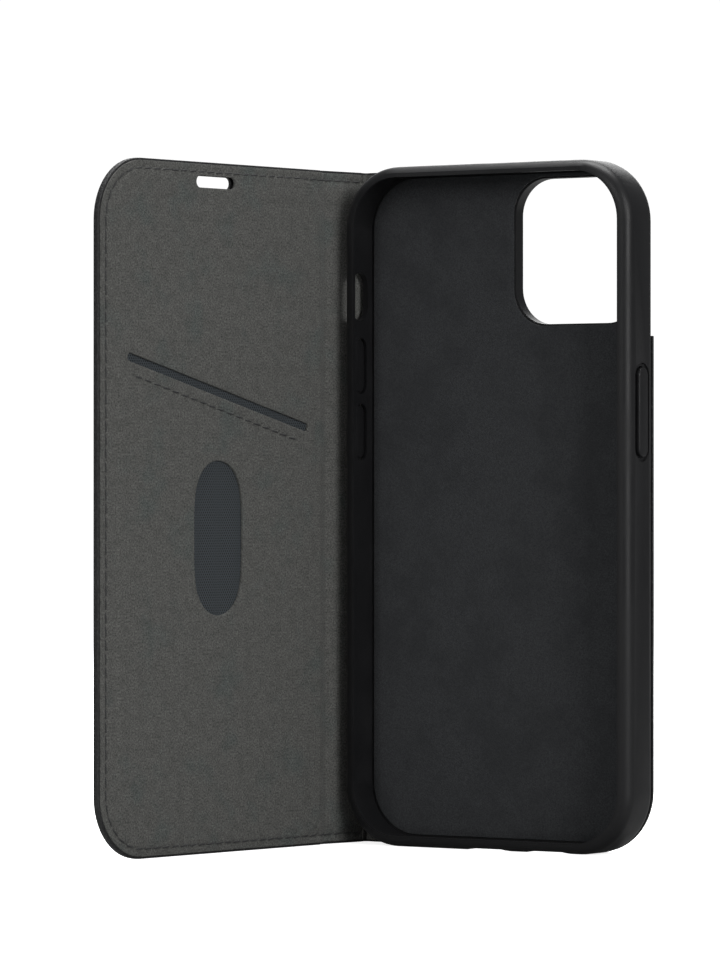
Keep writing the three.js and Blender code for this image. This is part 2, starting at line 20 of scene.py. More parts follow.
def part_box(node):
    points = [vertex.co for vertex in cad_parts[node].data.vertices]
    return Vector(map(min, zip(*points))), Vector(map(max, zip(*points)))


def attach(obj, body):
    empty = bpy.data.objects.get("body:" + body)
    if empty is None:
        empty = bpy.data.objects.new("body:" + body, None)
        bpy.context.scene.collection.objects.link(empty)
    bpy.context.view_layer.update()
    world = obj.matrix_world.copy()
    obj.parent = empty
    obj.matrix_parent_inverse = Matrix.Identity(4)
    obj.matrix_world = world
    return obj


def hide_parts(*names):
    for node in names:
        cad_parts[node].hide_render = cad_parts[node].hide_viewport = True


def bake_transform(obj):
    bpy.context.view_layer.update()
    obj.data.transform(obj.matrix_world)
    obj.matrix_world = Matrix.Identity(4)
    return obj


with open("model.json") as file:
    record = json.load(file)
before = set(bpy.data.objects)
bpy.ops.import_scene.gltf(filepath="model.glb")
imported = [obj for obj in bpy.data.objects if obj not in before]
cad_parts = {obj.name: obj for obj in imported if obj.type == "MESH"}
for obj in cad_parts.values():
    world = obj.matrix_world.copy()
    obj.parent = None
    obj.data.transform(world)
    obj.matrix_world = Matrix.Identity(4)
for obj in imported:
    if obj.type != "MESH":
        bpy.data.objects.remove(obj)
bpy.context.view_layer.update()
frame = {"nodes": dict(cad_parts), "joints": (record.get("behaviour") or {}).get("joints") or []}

MM = 0.001
WELD = 0.002 * MM  # points closer than this are one point
THROUGH = 5 * MM  # how far a cutter reaches past a sheet
CORNER_STEPS = 14  # edges round a corner of a sheet
FILLET_STEPS = 12  # points round a corner of a stitch line
SHARP = math.radians(50)  # edges sharper than this are rounded
SOFT_BEND = math.radians(40)  # edges flatter than this are shaded smoothly
MOST = (0.3, 0.7)  # the levels that most of a random pattern lies between
LOG = logging.getLogger("wallet_case")

BMesh = bmesh.types.BMesh
Socket = bpy.types.NodeSocket
Corner = tuple[float, float, float]
Colour = tuple[float, float, float]


class Body(Enum):
    """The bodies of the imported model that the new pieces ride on."""

    CASE = "case"
    SPINE = "spine"
    COVER = "cover"
    SIDE_BUTTON = "side_button"
    VOLUME_UP = "volume_up"
    VOLUME_DOWN = "volume_down"


class Slot(Enum):
    """The record's material slots."""

    SHELL = "shell"
    LEATHER = "leather"
    SUEDE = "suede"
    MESH_FABRIC = "mesh_fabric"
    MICROFIBRE = "microfibre"
    BOARD = "board"
    BOND = "bond"
    THREAD = "thread"
    STEEL = "steel"
    MAGNET = "magnet"


class RoundSide(Enum):
    """The side of a sheet whose two corners are rounded."""

    LEFT = -1
    RIGHT = 1


# ---- Small measures ----


def smooth(value: float) -> float:
    """Turns a share into one that starts and stops gently.

    Args:
        value: The share, which is held between 0 and 1.

    Returns:
        The eased share.
    """
    share = min(1.0, max(0.0, value))
    return share * share * (3 - 2 * share)


def bell(distance: float, width: float) -> float:
    """Gives a soft bump that is 1 at no distance and fades away over a width."""
    return math.exp(-((distance / width) ** 2))


def turned(point: Vector, angle: float) -> Vector:
    """Turns a point about the vertical line through the origin."""
    cos, sin = math.cos(angle), math.sin(angle)
    return Vector((cos * point.x - sin * point.y, sin * point.x + cos * point.y, point.z))


@dataclass(frozen=True)
class Area:
    """A level rectangle on a flat sheet, in metres."""

    left: float
    right: float
    low: float
    high: float

    def grown(self, margin: float) -> "Area":
        """Returns the rectangle with every side moved out by a margin."""
        return Area(self.left - margin, self.right + margin, self.low - margin, self.high + margin)

    @property
    def middle(self) -> Vector:
        """The middle of the rectangle, as a point at no depth."""
        return Vector(((self.left + self.right) / 2, 0, (self.low + self.high) / 2))

    @property
    def size(self) -> Vector:
        """Width and height as the x and z of a vector."""
        return Vector((self.right - self.left, 0, self.high - self.low))

    def distance(self, x: float, z: float, radius: float) -> float:
        """Measures how far a point is outside the rectangle with rounded corners.

        Args:
            x: The point's place across the sheet.
            z: The point's height.
            radius: The radius of all four corners.

        Returns:
            The distance to the outline, below zero inside it.
        """
        across = abs(x - self.middle.x) - self.size.x / 2 + radius
        up = abs(z - self.middle.z) - self.size.z / 2 + radius
        outside = math.hypot(max(across, 0.0), max(up, 0.0))
        return outside + min(max(across, up), 0.0) - radius


def filleted(corners: Sequence[Corner]) -> list[Vector]:
    """Rounds the corners of an open line.

    Args:
        corners: Each corner's x, z and radius. A corner of no radius stays sharp.

    Returns:
        The points of the line, as x and z.
    """
    points = [Vector(corners[0][:2])]
    for before, corner, after in zip(corners, corners[1:], corners[2:]):
        here, radius = Vector(corner[:2]), corner[2]
        back = (Vector(before[:2]) - here).normalized()
        on = (Vector(after[:2]) - here).normalized()
        if radius == 0:
            points.append(here)
            continue
        half = back.angle(on) / 2
        centre = here + (back + on).normalized() * radius / math.sin(half)
        first = here + back * radius / math.tan(half) - centre
        last = here + on * radius / math.tan(half) - centre
        for step in range(FILLET_STEPS + 1):
            points.append(centre + first.slerp(last, step / FILLET_STEPS).normalized() * radius)
    points.append(Vector(corners[-1][:2]))
    return points


def spaced(points: Sequence[Vector], pitch: float) -> list[tuple[Vector, Vector]]:
    """Places marks at an even pitch along a line.

    Args:
        points: The line, as x and z.
        pitch: The wanted distance between marks, which is adjusted to fit the line.

    Returns:
        The place and the direction of each mark.
    """
    lengths = [(b - a).length for a, b in zip(points, points[1:])]
    total = sum(lengths)
    count = max(1, round(total / pitch))
    marks = []
    for index in range(count):
        left = (index + 0.5) * total / count
        for start, end, length in zip(points, points[1:], lengths):
            if left <= length and length > 0:
                marks.append((start.lerp(end, left / length), (end - start).normalized()))
                break
            left -= length
    return marks


# ---- The fold of the book ----


@dataclass(frozen=True)
class Fold:
    """Folds the flat book at its two creases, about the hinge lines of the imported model."""

    spine_turn: float = math.radians(79)
    cover_turn: float = math.radians(6)
    reach: float = 1.4 * MM
    neutral: float = 0.25 * MM

    @property
    def lines(self) -> tuple[Vector, Vector]:
        """The places of the spine's and the cover's hinge lines."""
        hinges = [joint for joint in frame["joints"] if joint["type"] == "hinge"]
        places = {joint["name"]: Vector(joint["pos_m"]) for joint in hinges}
        return places["spine_fold"], places["cover_fold"]

    @property
    def pitch(self) -> float:
        """The distance between the two creases."""
        spine, cover = self.lines
        return (cover - spine).length

    def share(self, past: float) -> float:
        """Returns how much of a crease's turn a point has that lies this far past it."""
        return smooth((past + self.reach) / (2 * self.reach))

    def folded(self, flat: Vector) -> Vector:
        """Moves a point of the flat book to where it stands.

        Args:
            flat: The point on the flat book.

        Returns:
            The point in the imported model's frame.
        """
        second = Vector((-self.pitch, 0, 0))
        point = Vector((flat.x, flat.y + self.neutral, flat.z))
        point = turned(point - second, self.cover_turn * self.share(-flat.x - self.pitch)) + second
        return turned(point, self.spine_turn * self.share(-flat.x)) + self.lines[0]


FOLD = Fold()


# ---- Mesh work ----


def outline_face(area: Area, radius: float, side: RoundSide | None) -> BMesh:
    """Makes one flat face in the XZ plane with rounded corners.

    Args:
        area: The face's rectangle.
        radius: The radius of its round corners.
        side: The side with round corners, or None for all four.

    Returns:
        The mesh with the face.
    """
    bm = bmesh.new()
    bmesh.ops.create_grid(bm, x_segments=1, y_segments=1, size=0.5)
    stand = Matrix.Rotation(math.pi / 2, 4, "X")
    scale = Matrix.Diagonal((area.size.x, 1, area.size.z, 1))
    bmesh.ops.transform(bm, matrix=Matrix.Translation(area.middle) @ scale @ stand, verts=bm.verts)
    picked = [v for v in bm.verts if side is None or (v.co.x - area.middle.x) * side.value > 0]
    bmesh.ops.bevel(bm, geom=picked, offset=radius, offset_type="OFFSET", segments=CORNER_STEPS, profile=0.5,
                    affect="VERTICES", material=-1)
    bmesh.ops.remove_doubles(bm, verts=bm.verts, dist=WELD / 2)
    return bm


def thickened(bm: BMesh, outer: float, inner: float) -> BMesh:
    """Gives a flat face a thickness.

    Args:
        bm: The mesh with the face at no depth.
        outer: The depth of its outer side.
        inner: The depth of its inner side.

    Returns:
        The same mesh as a closed block.
    """
    made = bmesh.ops.extrude_face_region(bm, geom=bm.faces[:])["geom"]
    moved = [v for v in made if isinstance(v, bmesh.types.BMVert)]
    bmesh.ops.translate(bm, verts=moved, vec=(0, outer - inner, 0))
    bmesh.ops.translate(bm, verts=bm.verts, vec=(0, -outer, 0))
    bmesh.ops.recalc_face_normals(bm, faces=bm.faces)
    return bm


def block(area: Area, radius: float, side: RoundSide | None, outer: float, inner: float) -> BMesh:
    """Makes a closed block with a rounded outline between two depths."""
    return thickened(outline_face(area, radius, side), outer, inner)


def as_object(bm: BMesh, name: str) -> bpy.types.Object:
    """Turns a mesh into an object in the scene and frees it."""
    mesh = bpy.data.meshes.new(name)
    bm.to_mesh(mesh)
    bm.free()
    made = bpy.data.objects.new(name, mesh)
    bpy.context.scene.collection.objects.link(made)
    return made


def from_object(made: bpy.types.Object) -> BMesh:
    """Reads an object with its modifiers applied into a mesh, and removes the object."""
    evaluated = made.evaluated_get(bpy.context.evaluated_depsgraph_get())
    bm = bmesh.new()
    bm.from_mesh(evaluated.to_mesh())
    bpy.data.objects.remove(made)
    return bm


def cleaned(bm: BMesh, flat_deg: float) -> BMesh:
    """Welds a mesh and joins its faces that lie flat to within an angle."""
    bmesh.ops.remove_doubles(bm, verts=bm.verts, dist=WELD)
    bmesh.ops.dissolve_limit(bm, angle_limit=math.radians(flat_deg), verts=bm.verts, edges=bm.edges)
    return bm


def cut(bm: BMesh, cutters: Iterable[BMesh]) -> BMesh:
    """Cuts closed blocks out of a mesh.

    Args:
        bm: The mesh to cut.
        cutters: The blocks.

    Returns:
        The mesh with the openings.
    """
    body = as_object(bm, "blank")
    tools = [as_object(cutter, "cutter") for cutter in cutters]
    for tool in tools:
        modifier = body.modifiers.new("cut", "BOOLEAN")
        modifier.operation, modifier.solver, modifier.object = "DIFFERENCE", "EXACT", tool
    made = from_object(body)
    for tool in tools:
        bpy.data.objects.remove(tool)
    return cleaned(made, 0.5)


def rounded(bm: BMesh, width: float, steps: int, keep: Callable[[Vector], bool]) -> None:
    """Rounds the sharp edges of a mesh.

    Args:
        bm: The mesh.
        width: The width that the rounding takes from each side.
        steps: The number of faces across it.
        keep: Says for the middle of an edge whether it is rounded.
    """
    sharp = [e for e in bm.edges if e.is_manifold and e.calc_face_angle() > SHARP]
    sharp = [e for e in sharp if keep((e.verts[0].co + e.verts[1].co) / 2)]
    bmesh.ops.bevel(bm, geom=sharp, offset=width, offset_type="OFFSET", segments=steps, profile=0.5,
                    affect="EDGES", material=-1, clamp_overlap=True)


def sliced(bm: BMesh, normal: Vector, places: Iterable[float]) -> None:
    """Cuts edges into a mesh along parallel planes, so that it can bend.

    Args:
        bm: The mesh.
        normal: The direction across the planes.
        places: Their places along that direction.
    """
    for place in places:
        bmesh.ops.bisect_plane(bm, geom=bm.verts[:] + bm.edges[:] + bm.faces[:], dist=0.0005 * MM,
                               plane_co=normal * place, plane_no=normal)


def steps_between(start: float, end: float, pitch: float) -> list[float]:
    """Gives even steps between two places, without the places themselves."""
    count = max(1, round((end - start) / pitch))
    return [start + (end - start) * index / count for index in range(1, count)]


def gridded(bm: BMesh, area: Area, pitch: float, creases: Sequence[float] = ()) -> None:
    """Divides a sheet into cells, with finer ones where it bends.

    Args:
        bm: The sheet.
        area: The sheet's rectangle.
        pitch: The size of a cell.
        creases: The places of the creases that cross it.
    """
    fine = FOLD.reach / 5
    places = steps_between(area.left, area.right, pitch)
    for crease in creases:
        near = [crease + fine * step for step in range(-6, 7)]
        places = [x for x in places if abs(x - crease) > 7 * fine] + near
    sliced(bm, Vector((1, 0, 0)), sorted(x for x in places if area.left < x < area.right))
    sliced(bm, Vector((0, 0, 1)), steps_between(area.low, area.high, pitch))


def refined(bm: BMesh, near: Callable[[Vector], bool], rounds: int) -> None:
    """Splits the faces of a mesh where fine shapes are pressed into it.

    Args:
        bm: The mesh.
        near: Says for a point whether it is close to such a shape.
        rounds: How many times the faces are split.
    """
    for _ in range(rounds):
        edges = [e for e in bm.edges if near(e.verts[0].co) and near(e.verts[1].co)]
        bmesh.ops.subdivide_edges(bm, edges=edges, cuts=1, use_grid_fill=True)


def flat_uv(bm: BMesh) -> None:
    """Gives a flat sheet a UV map that holds its places in millimetres, before it is folded."""
    layer = bm.loops.layers.uv.new("sheet")
    for face in bm.faces:
        for loop in face.loops:
            loop[layer].uv = (loop.vert.co.x / MM, (loop.vert.co.z - loop.vert.co.y) / MM)


def fold_mesh(bm: BMesh) -> None:
    """Folds a flat mesh to where it stands."""
    for vert in bm.verts:
        vert.co = FOLD.folded(vert.co)


def finished(made: bpy.types.Object, sharp: float = SOFT_BEND) -> bpy.types.Object:
    """Shades an object smoothly, apart from its sharp edges."""
    made.data.polygons.foreach_set("use_smooth", [True] * len(made.data.polygons))
    made.data.set_sharp_from_angle(angle=sharp)
    return made


def folded_piece(bm: BMesh, name: str) -> bpy.types.Object:
    """Folds a shaped sheet to where it stands and makes it an object."""
    fold_mesh(bm)
    return finished(as_object(bm, name))


def cad_mesh(node: str) -> BMesh:
    """Copies a CAD node as one welded mesh."""
    bm = bmesh.new()
    bm.from_mesh(frame["nodes"][node].data)
    return cleaned(bm, 0.3)


def merged_copy(node: str, name: str, edge: float) -> bpy.types.Object:
    """Copies a CAD node with softened edges as a piece that stands for it.

    Args:
        node: The CAD node.
        name: The new piece's name.
        edge: The width of the softened edges.

    Returns:
        The new piece.
    """
    bm = cad_mesh(node)
    for layer in list(bm.loops.layers.uv.values()):
        bm.loops.layers.uv.remove(layer)
    made = as_object(bm, name)
    made.data.materials.clear()
    bevel = made.modifiers.new("soft_edges", "BEVEL")
    bevel.width, bevel.segments, bevel.limit_method = edge, 2, "ANGLE"
    bevel.angle_limit = SOFT_BEND
    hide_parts(node)
    return finished(made)


# ---- Finishes ----


class Graph:
    """A material's nodes, with short calls that add and join them."""

    def __init__(self, name: str) -> None:
        """Starts a material of one principled shader."""
        self.material = bpy.data.materials.new(name)
        self.material.use_nodes = True
        self.nodes = self.material.node_tree.nodes
        self.shader = self.nodes["Principled BSDF"]

    def link(self, source: Socket, target: Socket) -> None:
        """Joins two sockets."""
        self.material.node_tree.links.new(source, target)

    def millimetres(self) -> Socket:
        """Returns the piece's own coordinates in millimetres."""
        place = self.nodes.new("ShaderNodeTexCoord")
        scale = self.nodes.new("ShaderNodeMapping")
        scale.inputs["Scale"].default_value = (1 / MM,) * 3
        self.link(place.outputs["Object"], scale.inputs["Vector"])
        return scale.outputs["Vector"]

    def sheet(self) -> Socket:
        """Returns the coordinates of the UV map that follows the flat sheet, in millimetres."""
        return self.nodes.new("ShaderNodeTexCoord").outputs["UV"]

    def noise(self, place: Socket, per_mm: float, detail: float, rough: float) -> Socket:
        """Adds a soft random pattern.

        Args:
            place: The coordinates in millimetres.
            per_mm: How many blotches there are in a millimetre.
            detail: How many finer patterns lie on it.
            rough: How strong those are.

        Returns:
            The pattern, around 0.5.
        """
        node = self.nodes.new("ShaderNodeTexNoise")
        node.inputs["Scale"].default_value = per_mm
        node.inputs["Detail"].default_value = detail
        node.inputs["Roughness"].default_value = rough
        self.link(place, node.inputs["Vector"])
        return node.outputs["Fac"]

    def cells(self, place: Socket, per_mm: float) -> Socket:
        """Adds a pattern of cells and returns the distance from their edges."""
        node = self.nodes.new("ShaderNodeTexVoronoi")
        node.feature = "DISTANCE_TO_EDGE"
        node.inputs["Scale"].default_value = per_mm
        self.link(place, node.inputs["Vector"])
        return node.outputs["Distance"]

    def math(self, operation: str, first: Socket | float, second: Socket | float = 0.0) -> Socket:
        """Adds one sum on two values, each a socket or a number."""
        node = self.nodes.new("ShaderNodeMath")
        node.operation = operation
        for socket, value in zip(node.inputs, (first, second)):
            if isinstance(value, bpy.types.NodeSocket):
                self.link(value, socket)
            else:
                socket.default_value = value
        return node.outputs[0]

    def split(self, vector: Socket) -> tuple[Socket, Socket, Socket]:
        """Splits coordinates into their three numbers."""
        node = self.nodes.new("ShaderNodeSeparateXYZ")
        self.link(vector, node.inputs[0])
        return node.outputs[0], node.outputs[1], node.outputs[2]

    def between(
        self, share: Socket, levels: tuple[float, float], to: tuple[float, float] = (0, 1)
    ) -> Socket:
        """Stretches a pattern between two levels to a new range, and holds the rest at its ends."""
        node = self.nodes.new("ShaderNodeMapRange")
        node.interpolation_type = "SMOOTHSTEP"
        for name, value in zip(("From Min", "From Max", "To Min", "To Max"), (*levels, *to)):
            node.inputs[name].default_value = value
        self.link(share, node.inputs["Value"])
        return node.outputs["Result"]

    def blend(
        self, share: Socket, first: Socket | Colour, second: Socket | Colour, mode: str = "MIX"
    ) -> Socket:
        """Mixes two colours.

        Args:
            share: How much of the second colour there is.
            first: A colour or a socket.
            second: A colour or a socket.
            mode: How they mix.

        Returns:
            The mixed colour.
        """
        node = self.nodes.new("ShaderNodeMix")
        node.data_type, node.blend_type = "RGBA", mode
        self.link(share, node.inputs["Factor"])
        for socket, value in ((node.inputs[6], first), (node.inputs[7], second)):
            if isinstance(value, bpy.types.NodeSocket):
                self.link(value, socket)
            else:
                socket.default_value = (*value, 1)
        return node.outputs[2]

    def bump(self, height: Socket, depth: float, strength: float, under: Socket | None = None) -> Socket:
        """Adds a fine relief.

        Args:
            height: The relief's height.
            depth: Its depth in metres.
            strength: How much of it shows.
            under: A relief that it lies on.

        Returns:
            The changed normal.
        """
        node = self.nodes.new("ShaderNodeBump")
        node.inputs["Distance"].default_value = depth
        node.inputs["Strength"].default_value = strength
        self.link(height, node.inputs["Height"])
        if under is not None:
            self.link(under, node.inputs["Normal"])
        return node.outputs["Normal"]

    def surface(
        self, colour: Socket, rough: Socket, normal: Socket, **constants: float
    ) -> bpy.types.Material:
        """Joins a finish to the shader.

        Args:
            colour: The base colour.
            rough: The roughness.
            normal: The normal with the reliefs.
            **constants: Values of other shader sockets, named with underscores.

        Returns:
            The finished material.
        """
        self.link(colour, self.shader.inputs["Base Color"])
        self.link(rough, self.shader.inputs["Roughness"])
        self.link(normal, self.shader.inputs["Normal"])
        for name, value in constants.items():
            self.shader.inputs[name.replace("_", " ")].default_value = value
        return self.material


@dataclass(frozen=True)
class MouldedRubber:
    """Matte black moulded shell with a very fine spark-eroded texture and faint handling marks."""

    name: str = "moulded_rubber"
    dark: Colour = (0.0055, 0.0055, 0.006)
    light: Colour = (0.0095, 0.0095, 0.0105)

    def build(self) -> bpy.types.Material:
        """Makes the material."""
        g = Graph(self.name)
        place = g.millimetres()
        grain = g.noise(place, per_mm=5.5, detail=2, rough=0.6)
        marks = g.noise(place, per_mm=0.09, detail=3, rough=0.55)
        colour = g.blend(g.between(grain, MOST), self.dark, self.light)
        rough = g.between(marks, (0.35, 0.65), (0.40, 0.52))
        normal = g.bump(grain, 0.02 * MM, 0.5)
        return g.surface(colour, rough, normal, Specular_IOR_Level=0.3)


@dataclass(frozen=True)
class GrainedLeather:
    """Black leather with a fine pebbled grain, and a slight polish where hands rub it."""

    name: str = "grained_leather"
    valley: Colour = (0.008, 0.008, 0.0085)
    pebble: Colour = (0.022, 0.022, 0.0225)

    def build(self) -> bpy.types.Material:
        """Makes the material."""
        g = Graph(self.name)
        place = g.millimetres()
        pebbles = g.between(g.cells(place, per_mm=1.15), (0.0, 0.28))
        fine = g.noise(place, per_mm=6.0, detail=3, rough=0.6)
        rubbed = g.noise(place, per_mm=0.05, detail=2, rough=0.5)
        shade = g.blend(pebbles, self.valley, self.pebble)
        colour = g.blend(g.between(fine, (0.25, 0.75), (0, 0.35)), shade, self.valley)
        rough = g.between(rubbed, (0.35, 0.65), (0.5, 0.62))
        normal = g.bump(fine, 0.03 * MM, 0.35, g.bump(pebbles, 0.09 * MM, 0.6))
        return g.surface(colour, rough, normal, Specular_IOR_Level=0.4)


@dataclass(frozen=True)
class MicroSuede:
    """Dark grey brushed suede lining with a speckled nap."""

    name: str = "micro_suede"
    deep: Colour = (0.026, 0.026, 0.0245)
    pale: Colour = (0.17, 0.17, 0.16)
    cool: Colour = (0.82, 0.93, 0.94)

    def build(self) -> bpy.types.Material:
        """Makes the material."""
        g = Graph(self.name)
        place = g.sheet()
        speckle = g.noise(place, per_mm=2.7, detail=4, rough=0.8)
        nap = g.noise(place, per_mm=7.0, detail=2, rough=0.6)
        cloud = g.noise(place, per_mm=0.10, detail=3, rough=0.6)
        brushed = g.noise(place, per_mm=0.45, detail=2, rough=0.6)
        shade = g.blend(g.between(speckle, (0.27, 0.75)), self.deep, self.pale)
        worn = g.blend(g.between(brushed, (0.35, 0.7), (0, 0.22)), shade, self.deep)
        tinted = g.blend(g.between(cloud, (0.5, 0.72), (0, 0.8)), worn, self.cool, "MULTIPLY")
        rough = g.between(nap, MOST, (0.88, 0.98))
        normal = g.bump(nap, 0.06 * MM, 0.5, g.bump(speckle, 0.12 * MM, 0.5))
        return g.surface(
            tinted, rough, normal, Specular_IOR_Level=0.18, Sheen_Weight=0.12, Sheen_Roughness=0.45
        )


@dataclass(frozen=True)
class PocketWeave:
    """Blue-grey knitted mesh: rows of small dark holes, every other row set half a pitch along."""

    name: str = "pocket_weave"
    pitch: float = 0.62
    row: float = 0.5
    hole_edge: tuple[float, float] = (0.10, 0.235)
    yarn: Colour = (0.052, 0.062, 0.070)
    hole: Colour = (0.002, 0.003, 0.004)

    def build(self) -> bpy.types.Material:
        """Makes the material."""
        g = Graph(self.name)
        place = g.sheet()
        across, up, _ = g.split(place)
        rows = g.math("DIVIDE", up, self.row)
        odd = g.math("MULTIPLY", g.math("FLOORED_MODULO", g.math("FLOOR", rows), 2.0), 0.5)
        along = g.math("ADD", g.math("DIVIDE", across, self.pitch), odd)
        off_x = g.math("MULTIPLY", g.math("SUBTRACT", g.math("FRACT", along), 0.5), self.pitch)
        off_z = g.math("MULTIPLY", g.math("SUBTRACT", g.math("FRACT", rows), 0.5), self.row)
        near = g.math("SQRT", g.math("ADD", g.math("POWER", off_x, 2.0), g.math("POWER", off_z, 2.0)))
        solid = g.between(near, self.hole_edge)
        fibre = g.noise(place, per_mm=9.0, detail=2, rough=0.6)
        yarn = g.blend(g.between(fibre, MOST, (0, 0.4)), self.yarn, self.hole)
        colour = g.blend(solid, self.hole, yarn)
        rough = g.between(fibre, MOST, (0.6, 0.8))
        normal = g.bump(fibre, 0.03 * MM, 0.4, g.bump(solid, 0.12 * MM, 0.8))
        return g.surface(colour, rough, normal, Specular_IOR_Level=0.3, Sheen_Weight=0.1)


@dataclass(frozen=True)
class Microfibre:
    """Short-pile pad on the floor of the shell."""

    name: str = "microfibre"
    deep: Colour = (0.022, 0.023, 0.025)
    pale: Colour = (0.05, 0.052, 0.055)

    def build(self) -> bpy.types.Material:
        """Makes the material."""
        g = Graph(self.name)
        place = g.millimetres()
        pile = g.noise(place, per_mm=4.5, detail=3, rough=0.7)
        brushed = g.noise(place, per_mm=0.12, detail=3, rough=0.55)
        shade = g.blend(g.between(pile, (0.25, 0.75)), self.deep, self.pale)
        colour = g.blend(g.between(brushed, (0.4, 0.7), (0, 0.45)), shade, self.deep)
        rough = g.between(pile, MOST, (0.9, 0.98))
        normal = g.bump(pile, 0.08 * MM, 0.6)
        return g.surface(
            colour, rough, normal, Specular_IOR_Level=0.15, Sheen_Weight=0.2, Sheen_Roughness=0.4
        )


@dataclass(frozen=True)
class Thread:
    """Twisted polyester thread, dark grey, with the slant of its plies."""

    name: str = "thread"
    groove: Colour = (0.008, 0.008, 0.009)
    ply: Colour = (0.045, 0.046, 0.046)
    twist: float = 14.0

    def build(self) -> bpy.types.Material:
        """Makes the material."""
        g = Graph(self.name)
        place = g.millimetres()
        x, y, z = g.split(place)
        slant = g.math("ADD", g.math("ADD", x, y), z)
        ply = g.between(g.math("SINE", g.math("MULTIPLY", slant, self.twist)), (-0.8, 0.9))
        fibre = g.noise(place, per_mm=12.0, detail=2, rough=0.5)
        shade = g.blend(ply, self.groove, self.ply)
        colour = g.blend(g.between(fibre, MOST, (0, 0.4)), shade, self.groove)
        rough = g.between(fibre, MOST, (0.6, 0.75))
        return g.surface(colour, rough, g.bump(ply, 0.05 * MM, 0.6), Sheen_Weight=0.1)


@dataclass(frozen=True)
class Speckled:
    """A plain hidden stuff with a two-tone fleck, such as greyboard, film or plated metal."""

    name: str
    first: Colour
    second: Colour
    per_mm: float
    smoothest: float
    roughest: float
    metallic: float = 0.0

    def build(self) -> bpy.types.Material:
        """Makes the material."""
        g = Graph(self.name)
        place = g.millimetres()
        fleck = g.noise(place, per_mm=self.per_mm, detail=4, rough=0.65)
        broad = g.noise(place, per_mm=self.per_mm / 12, detail=2, rough=0.5)
        colour = g.blend(g.between(fleck, MOST), self.first, self.second)
        rough = g.between(broad, MOST, (self.smoothest, self.roughest))
        return g.surface(colour, rough, g.bump(fleck, 0.03 * MM, 0.4), Metallic=self.metallic)


@dataclass
class Finishes:
    """All the finishes of the case, each made once."""

    made: dict[Slot, bpy.types.Material] = field(default_factory=dict)

    def prepare(self) -> None:
        """Makes every material."""
        recipes = {
            Slot.SHELL: MouldedRubber(),
            Slot.LEATHER: GrainedLeather(),
            Slot.SUEDE: MicroSuede(),
            Slot.MESH_FABRIC: PocketWeave(),
            Slot.MICROFIBRE: Microfibre(),
            Slot.THREAD: Thread(),
            Slot.BOARD: Speckled("greyboard", (0.16, 0.13, 0.10), (0.27, 0.22, 0.17), 2.5, 0.8, 0.95),
            Slot.BOND: Speckled("bonding_film", (0.42, 0.40, 0.34), (0.52, 0.50, 0.44), 1.2, 0.35, 0.6),
            Slot.STEEL: Speckled(
                "plated_steel", (0.42, 0.43, 0.44), (0.55, 0.56, 0.57), 3.0, 0.25, 0.45, metallic=1.0
            ),
            Slot.MAGNET: Speckled(
                "nickel_magnet", (0.5, 0.49, 0.46), (0.62, 0.61, 0.58), 2.0, 0.18, 0.32, metallic=1.0
            ),
        }
        self.made = {slot: recipe.build() for slot, recipe in recipes.items()}

    def dress(self, piece: bpy.types.Object, slot: Slot) -> bpy.types.Object:
        """Gives a piece its only material and says which of the record's slots it is."""
        piece.data.materials.clear()
        piece.data.materials.append(self.made[slot])
        LOG.info("%s: %s, %d faces", piece.name, slot.value, len(piece.data.polygons))
        return piece


# ---- The phone shell ----


@dataclass
class PhoneShell:
    """The moulded shell with its buttons and the pad on its floor."""

    finishes: Finishes
    shell_edge: float = 0.16 * MM
    button_edge: float = 0.12 * MM
    pad_edge: float = 0.1 * MM
    pad_cell: float = 2.0 * MM
    pad_wave: float = 0.03 * MM
    pad_waves_per_m: float = 90
    pad_filled: float = 0.93
    buttons: tuple[tuple[str, Body], ...] = (
        ("side_button", Body.SIDE_BUTTON),
        ("volume_up_button", Body.VOLUME_UP),
        ("volume_down_button", Body.VOLUME_DOWN),
    )

    def build(self) -> None:
        """Makes every piece of the shell."""
        shell = merged_copy("shell", "phone_shell", self.shell_edge)
        self.finishes.dress(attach(shell, Body.CASE.value), Slot.SHELL)
        for node, body in self.buttons:
            cap = merged_copy(node, f"{node}_cap", self.button_edge)
            self.finishes.dress(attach(cap, body.value), Slot.SHELL)
        self.build_pad()

    def build_pad(self) -> None:
        """Makes the microfibre pad from the CAD outline, a little uneven as glued cloth is."""
        low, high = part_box("shell_liner")
        bm = cad_mesh("shell_liner")
        rounded(bm, self.pad_edge, 2, lambda point: point.y < (low.y + high.y) / 2)
        sliced(bm, Vector((1, 0, 0)), steps_between(low.x, high.x, self.pad_cell))
        sliced(bm, Vector((0, 0, 1)), steps_between(low.z, high.z, self.pad_cell))
        for vert in bm.verts:
            share = (high.y - vert.co.y) / (high.y - low.y)
            wave = noise.noise(Vector((vert.co.x, 0, vert.co.z)) * self.pad_waves_per_m)
            vert.co.y += share * self.pad_wave * (wave + 1) / 2
        pad = finished(as_object(bm, "microfibre_pad"))
        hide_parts("shell_liner")
        self.finishes.dress(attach(pad, Body.CASE.value), Slot.MICROFIBRE)


# ---- The leather book ----


